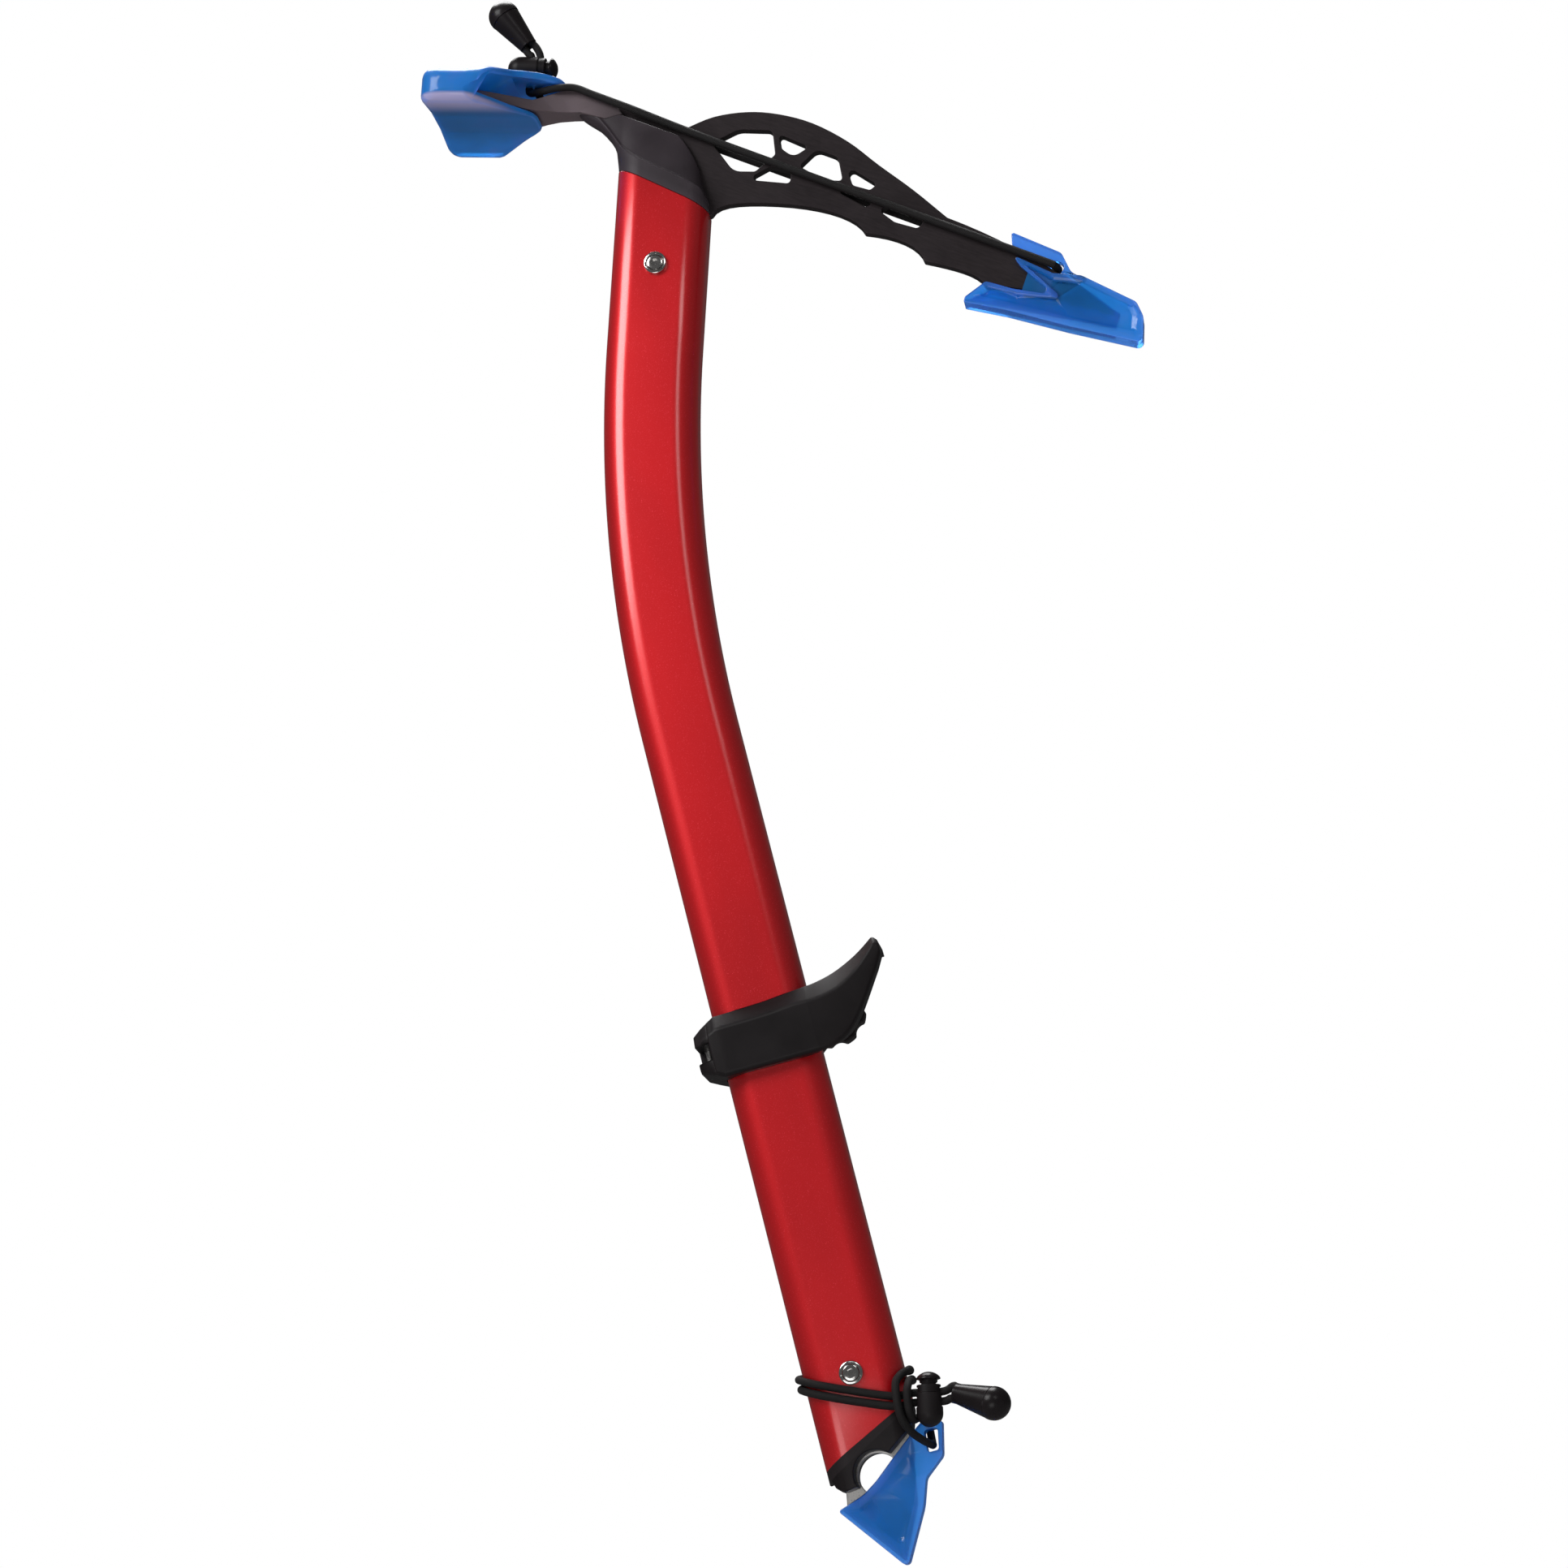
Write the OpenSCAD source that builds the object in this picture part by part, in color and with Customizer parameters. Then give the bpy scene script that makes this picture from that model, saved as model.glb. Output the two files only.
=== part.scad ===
// Compact ice axe with a bent shaft, a clamp-on finger rest and three elastic-held blade guards.
// Origin: centre of the clip hole in the spike. +Z runs up the straight grip, +X points to the pick,
// and -Y is the near side.

/* [Shaft] */
// Width of the shaft from rear to front
shaft_w = 32.5; // [31:0.5:36]
// Depth of the shaft from side to side
shaft_d = 21; // [20:0.5:24]
// Radius of the two rear corners
rear_r = 9; // [6:0.5:9.5]
// Radius of the two front corners
front_r = 8; // [5:0.5:9]
// Wall of the tube
shaft_wall = 1.6; // [1.2:0.1:2.2]
// Height of the start of the bend above the clip hole
bend_start = 255; // [245:1:320]
// Radius of the bend, on the axis
bend_r = 440; // [300:10:700]
// Angle that the shaft bends through
bend_angle = 17.5; // [8:0.5:24]
// Length of the upper straight, from the bend to the slanted top
upper_len = 56; // [50:1:90]
// Slant of the top of the shaft
crown_angle = 24; // [15:1:26]
// Height at which the slanted foot meets the axis
foot_z = 9.8; // [9.2:0.2:13]
// Slant of the foot
foot_angle = 28; // [22:1:29]

/* [Bolts] */
// Height of the lower bolt above the clip hole
lower_bolt_z = 32.6; // [32:0.2:36]
// Depth of the upper bolt below the slanted top
upper_bolt_drop = 28; // [24:0.5:34]
// Radius of a bolt's shank
bolt_r = 2; // [1.5:0.1:2.2]
// Radius of a bolt's head
bolt_head_r = 2.7; // [2.4:0.1:3]
// Wall of a barrel nut's sleeve and of a ferrule's bush
sleeve_wall = 0.8; // [0.6:0.1:1]
// Radius of the flange of a ferrule or a barrel nut
flange_r = 3.9; // [3.7:0.1:4.5]
// Thickness of those flanges
flange_t = 1.3; // [1.1:0.1:1.6]
// Width of a bolt's hexagon socket across its corners
socket_w = 2.9; // [2:0.1:3.4]

/* [Head] */
// Reach of the pick's tip in front of the shaft axis
pick_reach = 156; // [150:1:164]
// Drop of the pick's tip below the slanted top
pick_drop = 40.4; // [37:0.2:43]
// Thickness of the steel pick plate
plate_t = 4; // [3:0.25:4.5]
// Width of the tang in the shaft
tang_w = 20; // [16:0.5:22]
// Length of the tang below the slanted top
tang_len = 42; // [38:1:48]
// Thickness of each of the collar's cheeks beside the plate
cheek_t = 2.2; // [1.6:0.1:2.4]
// Depth of a pick tooth
tooth_d = 1.2; // [0.6:0.1:1.6]
// Spacing of the pick teeth
tooth_pitch = 5; // [4:0.5:8]
// Radius of the corners of the lattice windows
lattice_r = 1.3; // [0.8:0.1:1.4]

/* [Adze] */
// Width of the adze's cutting edge
adze_w = 48; // [40:1:56]
// Thickness of the adze blade
adze_t = 3; // [2.5:0.25:3.5]
// Width of the stem that carries the adze
stem_w = 9; // [8:0.5:9.5]
// Height of the adze's middle plane above the slanted top
adze_z = 29; // [28:0.5:30]
// Reach of the adze's edge behind the shaft axis
adze_reach = 79; // [74:1:84]

/* [Guards] */
// Wall of the adze guard outside the adze
adze_guard_wall = 2.4; // [1.8:0.1:3.2]
// Height of the adze guard's rim
rim_h = 12.5; // [12:0.25:13]
// Wall of the pick and spike guards beside their blades
guard_wall = 1.8; // [1.4:0.1:2.4]
// Clearance between a blade and its guard
guard_gap = 0.4; // [0.3:0.05:0.5]
// Thickness of the fin on the pick guard
fin_t = 4; // [3:0.25:4.4]
// Distance that the adze guard pulls off
adze_guard_travel = 50; // [40:1:60]

/* [Spike] */
// Thickness of the steel spike
spike_t = 3; // [2.5:0.25:4]
// Radius of the clip hole
clip_r = 6.8; // [6:0.1:7]
// Clearance between the clip hole and the plug's notch around it
clip_margin = 0.6; // [0.3:0.1:0.9]
// Width of the spike's tang
spike_tang_w = 18; // [14:0.5:20]
// Height of the top of the spike's tang
spike_tang_top = 42; // [39:0.5:46]
// Height of the top of the plug
plug_top = 46; // [44:0.5:52]

/* [Elastics] */
// Diameter of the elastic cord
cord_d = 2.6; // [2.2:0.1:2.8]
// Gap between the two strands of a doubled cord
strand_gap = 0.5; // [0.5:0.05:0.7]
// Gap between a cord and what it lies on
cord_gap = 0.35; // [0.3:0.05:0.5]
// Radius of a cord end's ball
bulb_r = 5.1; // [4.6:0.1:5.4]
// Radius of a cord end's mouth
bulb_mouth_r = 3.7; // [3.3:0.1:4.2]
// Length of a cord end from its mouth to the middle of its ball
bulb_len = 14.8; // [12:0.2:18]

/* [Toggles] */
// Diameter of a toggle's ball end
toggle_d = 8.6; // [8.2:0.1:9]
// Diameter of a toggle's neck and of its plunger's dome
toggle_neck_d = 7.8; // [7.6:0.1:8]
// Length of a toggle's body below the cord
toggle_depth = 9.5; // [9:0.25:11]
// Diameter of a plunger's stem
plunger_d = 5.8; // [5.2:0.1:6]
// Distance that a plunger is pressed in
press = 1.4; // [1:0.1:1.8]
// Running clearance around a plunger's stem
plunger_gap = 0.08; // [0.05:0.01:0.1]

/* [Finger rest] */
// Height of the middle of the finger rest's clamp
trigger_z = 146; // [125:1:170]
// Height of the clamp
clamp_h = 21; // [19:0.5:24]
// Wall of the clamp beside the shaft
clamp_wall = 4.5; // [4:0.25:6]
// Wall of the clamp behind the shaft
clamp_rear = 6.8; // [6.4:0.2:8]
// Clearance between the clamp and the shaft
clamp_gap = 0.3; // [0.2:0.05:0.5]
// Gap between the clamp's two shells
split = 0.6; // [0.5:0.05:0.8]
// Radius of the hinge pin
pin_r = 1.5; // [1.2:0.1:1.7]
// Height of the far shell's hinge knuckle
knuckle_h = 5; // [4:0.25:7]
// Running clearance of the hinge pin and of the thumbscrew
running_gap = 0.06; // [0.04:0.01:0.08]
// Radius of the thumbscrew's stud
stud_r = 2.4; // [2:0.1:2.5]
// Height of the thumbscrew above the middle of the clamp
stud_up = 7; // [5:0.25:7.5]
// Radius of the thumbscrew's knob
knob_r = 11.5; // [10:0.25:12.5]
// Thickness of the knob
knob_t = 5.5; // [4:0.25:7]
// Width of the clamp's nut across its corners
nut_w = 9; // [8.6:0.1:9.4]
// Thickness of the nut
nut_t = 4; // [3:0.25:4.5]
// Slack of the stud in the nut, which lets the clamp swing
nut_slack = 0.5; // [0.45:0.05:0.6]

/* [Hidden] */
$fn = 64;
big = 400;
red = [0.80, 0.11, 0.15];
black = [0.14, 0.13, 0.14];
grey = [0.25, 0.23, 0.24];
blue = [0.12, 0.40, 0.78, 0.85];
steel = [0.82, 0.82, 0.80];

// Values that several pieces share
fit_gap = 0.05;
// The upper straight laps over the end of the bend, a hair larger than it
joint_lap = 3;
overlap = 0.06;
sleeve_r = bolt_r + sleeve_wall;
cord_r = cord_d / 2;
pair = cord_d + strand_gap;
cheek_y = plate_t / 2 + cheek_t;
fin_y = fin_t / 2;
pick_guard_y = plate_t / 2 + guard_gap + guard_wall;
spike_guard_y = spike_t / 2 + guard_gap + guard_wall;
half_w = shaft_w / 2;
half_d = shaft_d / 2;

// Frames
bend_end = [bend_r * (1 - cos(bend_angle)), 0, bend_start + bend_r * sin(bend_angle)];
module at_bend_end() { translate(bend_end) rotate([0, bend_angle, 0]) children(); }
module at_head() { at_bend_end() translate([0, 0, upper_len]) children(); }
module at_lower_bolt() { translate([0, 0, lower_bolt_z]) rotate([90, 0, 0]) children(); }
module at_upper_bolt() { at_head() translate([0, 0, -upper_bolt_drop]) rotate([90, 0, 0]) children(); }
module at_bolts() {
    at_lower_bolt() children();
    at_upper_bolt() children();
}

// Curves and outlines
function unit(v) = v / norm(v);
function flat(p) = [p.x, p.y];
function reversed(list) = [for (i = [len(list) - 1:-1:0]) list[i]];
function short_turn(a) = a > 180 ? a - 360 : a < -180 ? a + 360 : a;
function bearing(v) = atan2(v.y, v.x);
function corner(a, b, c, r, steps = 5) =
    let (u = unit(a - b), v = unit(c - b), half = acos(u * v) / 2,
         centre = b + unit(u + v) * r / sin(half),
         from = bearing(b + u * r / tan(half) - centre),
         sweep = short_turn(bearing(b + v * r / tan(half) - centre) - from))
    [for (k = [0:steps]) centre + r * [cos(from + sweep * k / steps), sin(from + sweep * k / steps)]];
// Points are [x, z] for a sharp corner or [x, z, radius] for a round one
function rounded(pts) =
    let (n = len(pts))
    [for (i = [0:n - 1])
        each len(pts[i]) == 2 ? [pts[i]]
            : corner(flat(pts[(i + n - 1) % n]), flat(pts[i]), flat(pts[(i + 1) % n]), pts[i][2])];
function bezier(a, b, c, d, steps = 10) =
    [for (k = [0:steps]) let (t = k / steps, s = 1 - t)
        s * s * s * a + 3 * s * s * t * b + 3 * s * t * t * c + t * t * t * d];
function spline_point(a, b, c, d, t) =
    0.5 * (2 * b + (c - a) * t + (2 * a - 5 * b + 4 * c - d) * t * t + (3 * b - a - 3 * c + d) * t * t * t);
function spline(pts, steps) =
    let (last = len(pts) - 1)
    [for (i = [0:last - 1]) for (k = [0:steps - 1])
        spline_point(pts[max(i - 1, 0)], pts[i], pts[i + 1], pts[min(i + 2, last)], k / steps),
     pts[last]];

// An outline in x and z, made into a plate that is centred on y = 0
module plate(pts, thickness) {
    rotate([90, 0, 0]) linear_extrude(thickness, center = true) polygon(pts);
}

// Shaft section, larger or smaller all round by grow
module section(grow = 0) {
    for (s = [-1, 1]) {
        translate([-half_w + rear_r, s * (half_d - rear_r)]) circle(rear_r + grow);
        translate([half_w - front_r, s * (half_d - front_r)]) circle(front_r + grow);
    }
    polygon([for (s = [-1, 1]) each [
        [s * (half_w + grow) * -1, s * (half_d - (s > 0 ? rear_r : front_r))],
        [s > 0 ? -half_w + rear_r : half_w - front_r, s * (half_d + grow)],
        [s > 0 ? half_w - front_r : -half_w + rear_r, s * (half_d + grow)],
        [s * (half_w + grow), s * (half_d - (s > 0 ? front_r : rear_r))]]]);
}
module column(grow, from, to) { translate([0, 0, from]) linear_extrude(to - from) section(grow); }
module shaft_core(grow, extra) {
    column(grow, -extra, bend_start);
    translate([bend_r, 0, bend_start]) rotate([90, 0, 180])
        rotate_extrude(angle = bend_angle, $fn = 128) translate([bend_r, 0]) mirror([1, 0]) section(grow);
    at_bend_end() column(grow + sign(grow + overlap) * overlap, -joint_lap, upper_len + extra);
}
module above_crown() { rotate([0, crown_angle, 0]) translate([-big / 2, -big / 2, 0]) cube(big); }
module below_foot() {
    translate([0, 0, foot_z]) rotate([0, -foot_angle, 0]) translate([-big / 2, -big / 2, -big]) cube(big);
}
// Notch in the front wall for the root of the pick
tang_top = [tang_w / 2, -10];
pick_root = [17, -7.5];
module head_notch() {
    beyond = pick_root + 0.4 * (pick_root - tang_top);
    plate([for (p = [tang_top, beyond, [beyond.x, 0], [tang_top.x, 0]]) p - [0, fit_gap]], plate_t + fit_gap * 2);
}
module sleeve_holes() { at_bolts() cylinder(r = sleeve_r + fit_gap, h = shaft_d * 2, center = true); }

module shaft() {
    color(red) difference() {
        shaft_core(0, 20);
        shaft_core(-shaft_wall, 30);
        below_foot();
        at_head() above_crown();
        at_head() head_notch();
        sleeve_holes();
    }
}

// Bolts, their ferrules on the near side and their barrel nuts on the far side
bolt_seat = half_d + flange_t - 0.9;
sleeve_end = half_d - shaft_wall - 1;
module ferrule(face) {
    difference() {
        union() {
            translate([0, 0, face]) cylinder(r = flange_r, h = flange_t);
            translate([0, 0, sleeve_end]) cylinder(r = sleeve_r, h = face - sleeve_end);
        }
        cylinder(r = bolt_r + fit_gap, h = shaft_d);
        translate([0, 0, bolt_seat]) cylinder(r = bolt_head_r + fit_gap, h = shaft_d);
    }
}
module barrel_nut(face) {
    difference() {
        union() {
            translate([0, 0, -face - flange_t]) cylinder(r = flange_r, h = flange_t);
            translate([0, 0, -face]) cylinder(r = sleeve_r, h = face + sleeve_end - 1);
        }
        translate([0, 0, -half_d + 2]) cylinder(r = bolt_r + fit_gap, h = shaft_d);
    }
}
module bolt_ferrules() {
    color(steel) at_lower_bolt() ferrule(half_d);
    color(steel) at_upper_bolt() ferrule(half_d + overlap);
}
module barrel_nuts() {
    color(steel) at_lower_bolt() barrel_nut(half_d);
    color(steel) at_upper_bolt() barrel_nut(half_d + overlap);
}
module bolts() {
    color(steel) at_bolts() difference() {
        union() {
            translate([0, 0, -half_d + 4]) cylinder(r = bolt_r, h = bolt_seat + half_d - 4);
            translate([0, 0, bolt_seat]) cylinder(r = bolt_head_r, h = 1.1);
        }
        translate([0, 0, bolt_seat - 0.9]) cylinder(d = socket_w, h = 3, $fn = 6);
    }
}

// Head: the cord line is the straight line that the elastic takes beside the plate
pick_tip = [pick_reach, -pick_drop];
pick_foot = pick_tip + [-44.2, 9.4];
cord_from = [-33, 36.6];
cord_to = pick_tip + [-22.8, 17];
cord_slope = bearing(cord_to - cord_from);
pick_dir = [cos(cord_slope), sin(cord_slope)];
arch = spline([[6, 24], [15.5, 28.3], [27, 30.2], [38, 29.5], [50, 26.3], [62.5, 19.8], [73.5, 11.5],
               [86, 2.5], [98, -7.2]], 4);
pick_top = bezier([98, -7.2], [118, -14.6], pick_tip + [-18, 14.4], pick_tip + [-0.5, 0.8]);
tooth_count = floor((norm(pick_tip - pick_foot) - 12) / tooth_pitch);
tooth_dir = unit(pick_tip - pick_foot);
tooth_row = [for (i = [0:tooth_count - 1]) each [
    pick_tip - tooth_dir * (4 + tooth_pitch * i),
    pick_tip - tooth_dir * (4 + tooth_pitch * (i + 0.7)) + tooth_d * [-tooth_dir.y, tooth_dir.x]]];
// The underside of the pick steps down in three scallops
underside = concat(
    bezier(pick_root, [18.5, -3.6], [25, -2.9], [34, -2.9], 6),
    bezier([34, -2.9], [52, -3], [66.5, -6.5], [70.2, -13.2]),
    bezier([70.2, -13.2], [81, -14.2], [89, -17.5], [91, -23], 8),
    bezier([91, -23], [101, -25], pick_foot + [-2.3, 4], pick_foot, 8));
head_outline = concat(
    [[-30, 35.8]], arch, pick_top, [pick_tip], tooth_row, reversed(underside),
    [tang_top, [tang_w / 2, -tang_len], [-tang_w / 2, -tang_len], [-tang_w / 2, 12],
     [-16, 22.5], [-24, 29.2], [-30, 30.2]]);
// Lattice windows: each corner has its x and z and its radius as a multiple of lattice_r
lattice = [
    [[15.6, 18.6, 1], [24.5, 23.6, 5], [36.2, 23.4, 1.6], [37.6, 14.8, 1], [31, 8.6, 1.4], [23.5, 8.6, 4]],
    [[38.6, 22, 0.7], [39.6, 17, 2.4], [44, 14, 2.6], [48.9, 17.6, 0.7]],
    [[46.4, 10.6, 0.7], [52, 16.6, 2.4], [59.4, 13.9, 2.2], [61.4, 5.6, 0.8], [55, 5.8, 3]],
    [[28.6, 5.6, 0.8], [36.5, 10.4, 1.8], [43.4, 8.4, 1.2], [43.4, 4.4, 1]],
    [[62.4, 10.9, 1], [73.2, 4.3, 0.7], [71, 2.4, 0.9], [65, 4, 1.2]],
    [[60.4, 1.4, 0.7], [63, 3.4, 0.7], [72.4, -2.2, 0.7], [70, -3.8, 0.7]],
    [[74, -4.6, 1], [79, -3, 1.4], [90.4, -8.6, 1], [88, -11.2, 1.2], [80, -9, 3]]];

// The adze: its side profile meets its plan outline
adze_edge = -adze_reach;
adze_top = adze_z + adze_t / 2;
adze_low = adze_z - adze_t / 2;
adze_side = [[adze_edge, adze_z + 0.3], [adze_edge + 6, adze_top], [-47, adze_top + 0.8], [-39, 35.6],
             [-34, 36.9], [-20, 32.8], [-16, 28], [-22, 26.2], [-31, adze_low + 0.9], [-40, adze_low + 0.6],
             [-50, adze_low], [adze_edge + 6, adze_low], [adze_edge, adze_z - 0.3]];
adze_half = concat([[-14, stem_w / 2]],
    bezier([-34, stem_w / 2], [-48, stem_w / 2], [-58, adze_w / 2 - 3], [adze_edge, adze_w / 2], 8));
adze_plan = concat(adze_half, [[adze_edge - 1, 0]], [for (p = reversed(adze_half)) [p.x, -p.y]]);

module head() {
    color(grey) at_head() {
        difference() {
            plate(head_outline, plate_t);
            for (w = lattice) plate(rounded([for (p = w) [p.x, p.y, p[2] * lattice_r]]), plate_t * 2);
            translate([0, 0, -upper_bolt_drop]) rotate([90, 0, 0])
                cylinder(r = sleeve_r + fit_gap, h = plate_t * 2, center = true);
        }
        intersection() {
            plate(adze_side, adze_w + 4);
            linear_extrude(big) polygon(adze_plan);
        }
    }
}

// Collar: a plug in the shaft, a skirt that carries on the shaft's outside and two cheeks on the plate
skirt_side = concat([[half_w + 1, -20], [half_w + 1, -6], [12.9, 1]],
    bezier([12.9, 1], [0, 6.4], [-12, 10], [-17, 18], 8), [[-half_w - 1, 19], [-half_w - 1, -20]]);
cheek_side = concat(
    bezier([-half_w, 4], [-half_w - 0.5, 16], [-22, 22], [-31.5, 28], 10),
    [[-31.5, 30], [-24, 30.6], [4, 20.6]],
    bezier([4, 20.6], [10, 14], [13, 8], [13.5, 2], 6), [[half_w, -8]]);
module head_collar() {
    color(grey) at_head() difference() {
        union() {
            difference() {
                column(-shaft_wall - overlap - fit_gap, -tang_len - 4, half_w);
                above_crown();
            }
            intersection() {
                column(0, -half_w, big / 4);
                plate(skirt_side, shaft_d * 2);
                above_crown();
            }
            intersection() {
                plate(cheek_side, cheek_y * 2);
                above_crown();
            }
        }
        plate(head_outline, plate_t);
        intersection() {
            plate(adze_side, adze_w + 4);
            linear_extrude(big) polygon(adze_plan);
        }
        translate([0, 0, -upper_bolt_drop]) rotate([90, 0, 0])
            cylinder(r = sleeve_r + fit_gap, h = shaft_d * 2, center = true);
    }
}

// Spike plate and the plug that holds it in the foot of the shaft
spike_tip = [1.6, -27.5];
spike_outline = rounded([
    [-spike_tang_w / 2, spike_tang_top, 2], [spike_tang_w / 2, spike_tang_top, 2], [spike_tang_w / 2, 18],
    [12.4, 13, 1], [12.7, 6, 4], [9.4, -12, 6], [spike_tip.x, spike_tip.y, 0.5], [-12.8, -8.8, 1.5],
    [-11.6, -2, 2], [-spike_tang_w / 2, 8]]);
module spike() {
    color(steel) difference() {
        plate(spike_outline, spike_t);
        rotate([90, 0, 0]) cylinder(r = clip_r, h = big, center = true);
        translate([0, 0, lower_bolt_z]) rotate([90, 0, 0])
            cylinder(r = sleeve_r + fit_gap, h = big, center = true);
    }
}
plug_side = rounded([
    [-half_w - 1, plug_top], [half_w + 1, plug_top], [half_w + 1, 20], [half_w - 2.4, 11.4, 1.5], [5.2, 5.2, 0.6],
    [-7, -2.8, 0.6], [-11, -3.4, 1.5], [-14, -1.5, 2], [-half_w - 1, 8]]);
module spike_plug() {
    color(black) difference() {
        union() {
            difference() {
                column(-shaft_wall - fit_gap, -half_w, plug_top);
                below_foot();
            }
            intersection() {
                column(0, -half_w, plug_top);
                plate(plug_side, shaft_d * 2);
                below_foot();
            }
        }
        plate(spike_outline, spike_t);
        rotate([90, 0, 0]) cylinder(r = clip_r + clip_margin, h = big, center = true);
        translate([0, 0, lower_bolt_z]) rotate([90, 0, 0])
            cylinder(r = sleeve_r + fit_gap, h = big, center = true);
    }
}

// Adze guard: a rimmed pocket with a lower tongue and a raised upper tongue for the cord
rim_low = adze_z - rim_h / 2;
rim_top = adze_z + rim_h / 2;
pocket_low = adze_low - guard_gap;
pocket_top = adze_top + guard_gap;
rim_y = adze_w / 2 + guard_gap + adze_guard_wall;
guard_rear = adze_edge - 1 - guard_gap - adze_guard_wall;
rim_front = adze_edge + 18;
tongue_tip = -36.5;
tongue_low = 38.5;
tongue_t = 2.6;
tongue_hole_x = -48.6;
tongue_top = tongue_low + tongue_t;
rim_plan = rounded([[guard_rear, -rim_y, 7], [rim_front, -rim_y, 2], [-54, -12, 6], [-45.5, -7, 3],
                    [-45.5, 7, 3], [-54, 12, 6], [rim_front, rim_y, 2], [guard_rear, rim_y, 7]]);
tongue_plan = rounded([[guard_rear, -rim_y, 7], [rim_front, -rim_y, 2], [-52, -13.5, 6], [tongue_tip, -9, 4],
                       [tongue_tip, 9, 4], [-52, 13.5, 6], [rim_front, rim_y, 2], [guard_rear, rim_y, 7]]);
tongue_side = [[guard_rear - 1, pocket_top - 2], [guard_rear - 1, rim_top], [-68, rim_top], [-56, tongue_top],
               [tongue_tip + 1, tongue_top], [tongue_tip + 1, tongue_low], [-54.5, tongue_low],
               [-64, pocket_top], [-64, pocket_top - 2]];
// Its section across: a vaulted floor, and a roof that falls from the tongue to the rims
vault = 2.6;
guard_section = [[-rim_y, rim_low], [-7, rim_low + vault], [7, rim_low + vault], [rim_y, rim_low],
                 [rim_y, rim_top], [9, tongue_top], [-9, tongue_top], [-rim_y, rim_top]];
module across(pts) { translate([-big / 2, 0, 0]) rotate([90, 0, 90]) linear_extrude(big) polygon(pts); }
module adze_guard() {
    color(blue) at_head() difference() {
        intersection() {
            across(guard_section);
            union() {
                translate([0, 0, rim_low]) linear_extrude(pocket_low - rim_low) polygon(rim_plan);
                intersection() {
                    translate([0, 0, rim_low]) linear_extrude(rim_h) polygon(rim_plan);
                    translate([guard_rear - 1, -rim_y - 1, rim_low])
                        cube([rim_front - guard_rear + 1, rim_y * 2 + 2, rim_h]);
                }
                intersection() {
                    plate(tongue_side, rim_y * 4);
                    linear_extrude(big) polygon(tongue_plan);
                }
            }
        }
        translate([adze_edge - 1 - guard_gap, -adze_w / 2 - guard_gap, pocket_low])
            cube([adze_guard_travel, adze_w + guard_gap * 2, pocket_top - pocket_low]);
        intersection() {
            plate([[-64, pocket_top - 1], [-64, pocket_top], [-54.5, tongue_low], [-20, tongue_low],
                   [-20, pocket_top - 1]], adze_w + guard_gap * 2);
            translate([0, 0, -tongue_t]) across(guard_section);
        }
        for (s = [-1, 1]) translate([tongue_hole_x + s * pair / 2, 0, tongue_low - 1])
            cylinder(r = cord_r + cord_gap, h = tongue_t + 2);
        translate([tongue_hole_x, 0, tongue_top - tongue_t / 2])
            cube([pair, cord_d + cord_gap * 2, tongue_t + 2], center = true);
    }
}

// Pick guard: a wedge pocket with open cheeks and a fin whose window takes the cord's bight
strand_y_pick = fin_y + cord_gap + cord_r;
window = cord_to + (strand_y_pick - 0.4) * pick_dir;
function from_tip(pts) = [for (p = pts) concat(pick_tip + flat(p), len(p) > 2 ? [p[2]] : [])];
pick_guard_outline = rounded(from_tip([
    [-50.8, 2.5, 0.5], [-50.4, 4.4, 0.5], [-43.6, 10, 1.5], [-34, 7.4, 6], [-20.4, 5.6, 1.2], [-32, 15.4, 4],
    [-35.2, 19.6, 0.6], [-21, 13.2, 3], [-11.4, 12.6, 5], [7.6, 3.5, 3], [10.2, -1.6, 5], [10.4, -11, 2],
    [-14.8, -5.6, 20], [-36.1, -0.3, 20]]));
fin_outline = rounded(from_tip([[-35.9, 28.4, 0.6], [-18.6, 21.2, 3], [-15, 14.4, 4], [-10, 12], [-10, 4.4],
                                [-30, 10.4], [-35, 18.4]]));
pick_pocket = concat([[90, 2.2], [98, -7.2 + guard_gap]],
    [for (p = pick_top) p + guard_gap * 1.4 * [0.35, 0.94]],
    [[pick_tip.x + 2.5, pick_tip.y - 0.5], [pick_tip.x + 1, pick_tip.y - 6], [pick_foot.x - 10, pick_foot.y - 5],
     [90, -25]]);
module pick_guard() {
    color(blue) at_head() difference() {
        union() {
            plate(pick_guard_outline, pick_guard_y * 2);
            plate(fin_outline, fin_t);
        }
        plate(pick_pocket, plate_t + guard_gap * 2);
        translate([window.x, 0, window.y]) rotate([90, 0, 0])
            cylinder(r = cord_r + cord_gap + 0.5, h = pick_guard_y * 3, center = true);
    }
}

// Spike guard: a wedge pocket for the spike, with a loop at its front for the cord
spike_bight = [half_w + 2.65, 4.8];
spike_guard_outline = rounded([
    [-15.6, -8.2, 0.8], [1.7, -31, 1.5], [11.5, -13.5, 20], [half_w - 1.8, -5, 4], [half_w + 5.2, 0.6, 3],
    [half_w + 7.8, 11.6, 1], [half_w + 0.8, 12.4, 1], [half_w - 3.1, 9.6, 2], [5.2, 3.4, 20],
    [-1.4, -2, 20], [-6.6, -5.3, 12]]);
loop_window = rounded([[half_w + 0.7, 2.6, 1], [half_w + 4.4, 2.6, 1], [half_w + 5.8, 9.6, 1],
                       [half_w + 1.2, 9.6, 1]]);
spike_pocket = [[-13.4 - guard_gap, -8.9], [spike_tip.x, spike_tip.y - 1.4], [9.4 + guard_gap, -12.4],
                [12.7 + guard_gap, 5], [12.7 + guard_gap, 30], [-13.4 - guard_gap, 30]];
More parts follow.
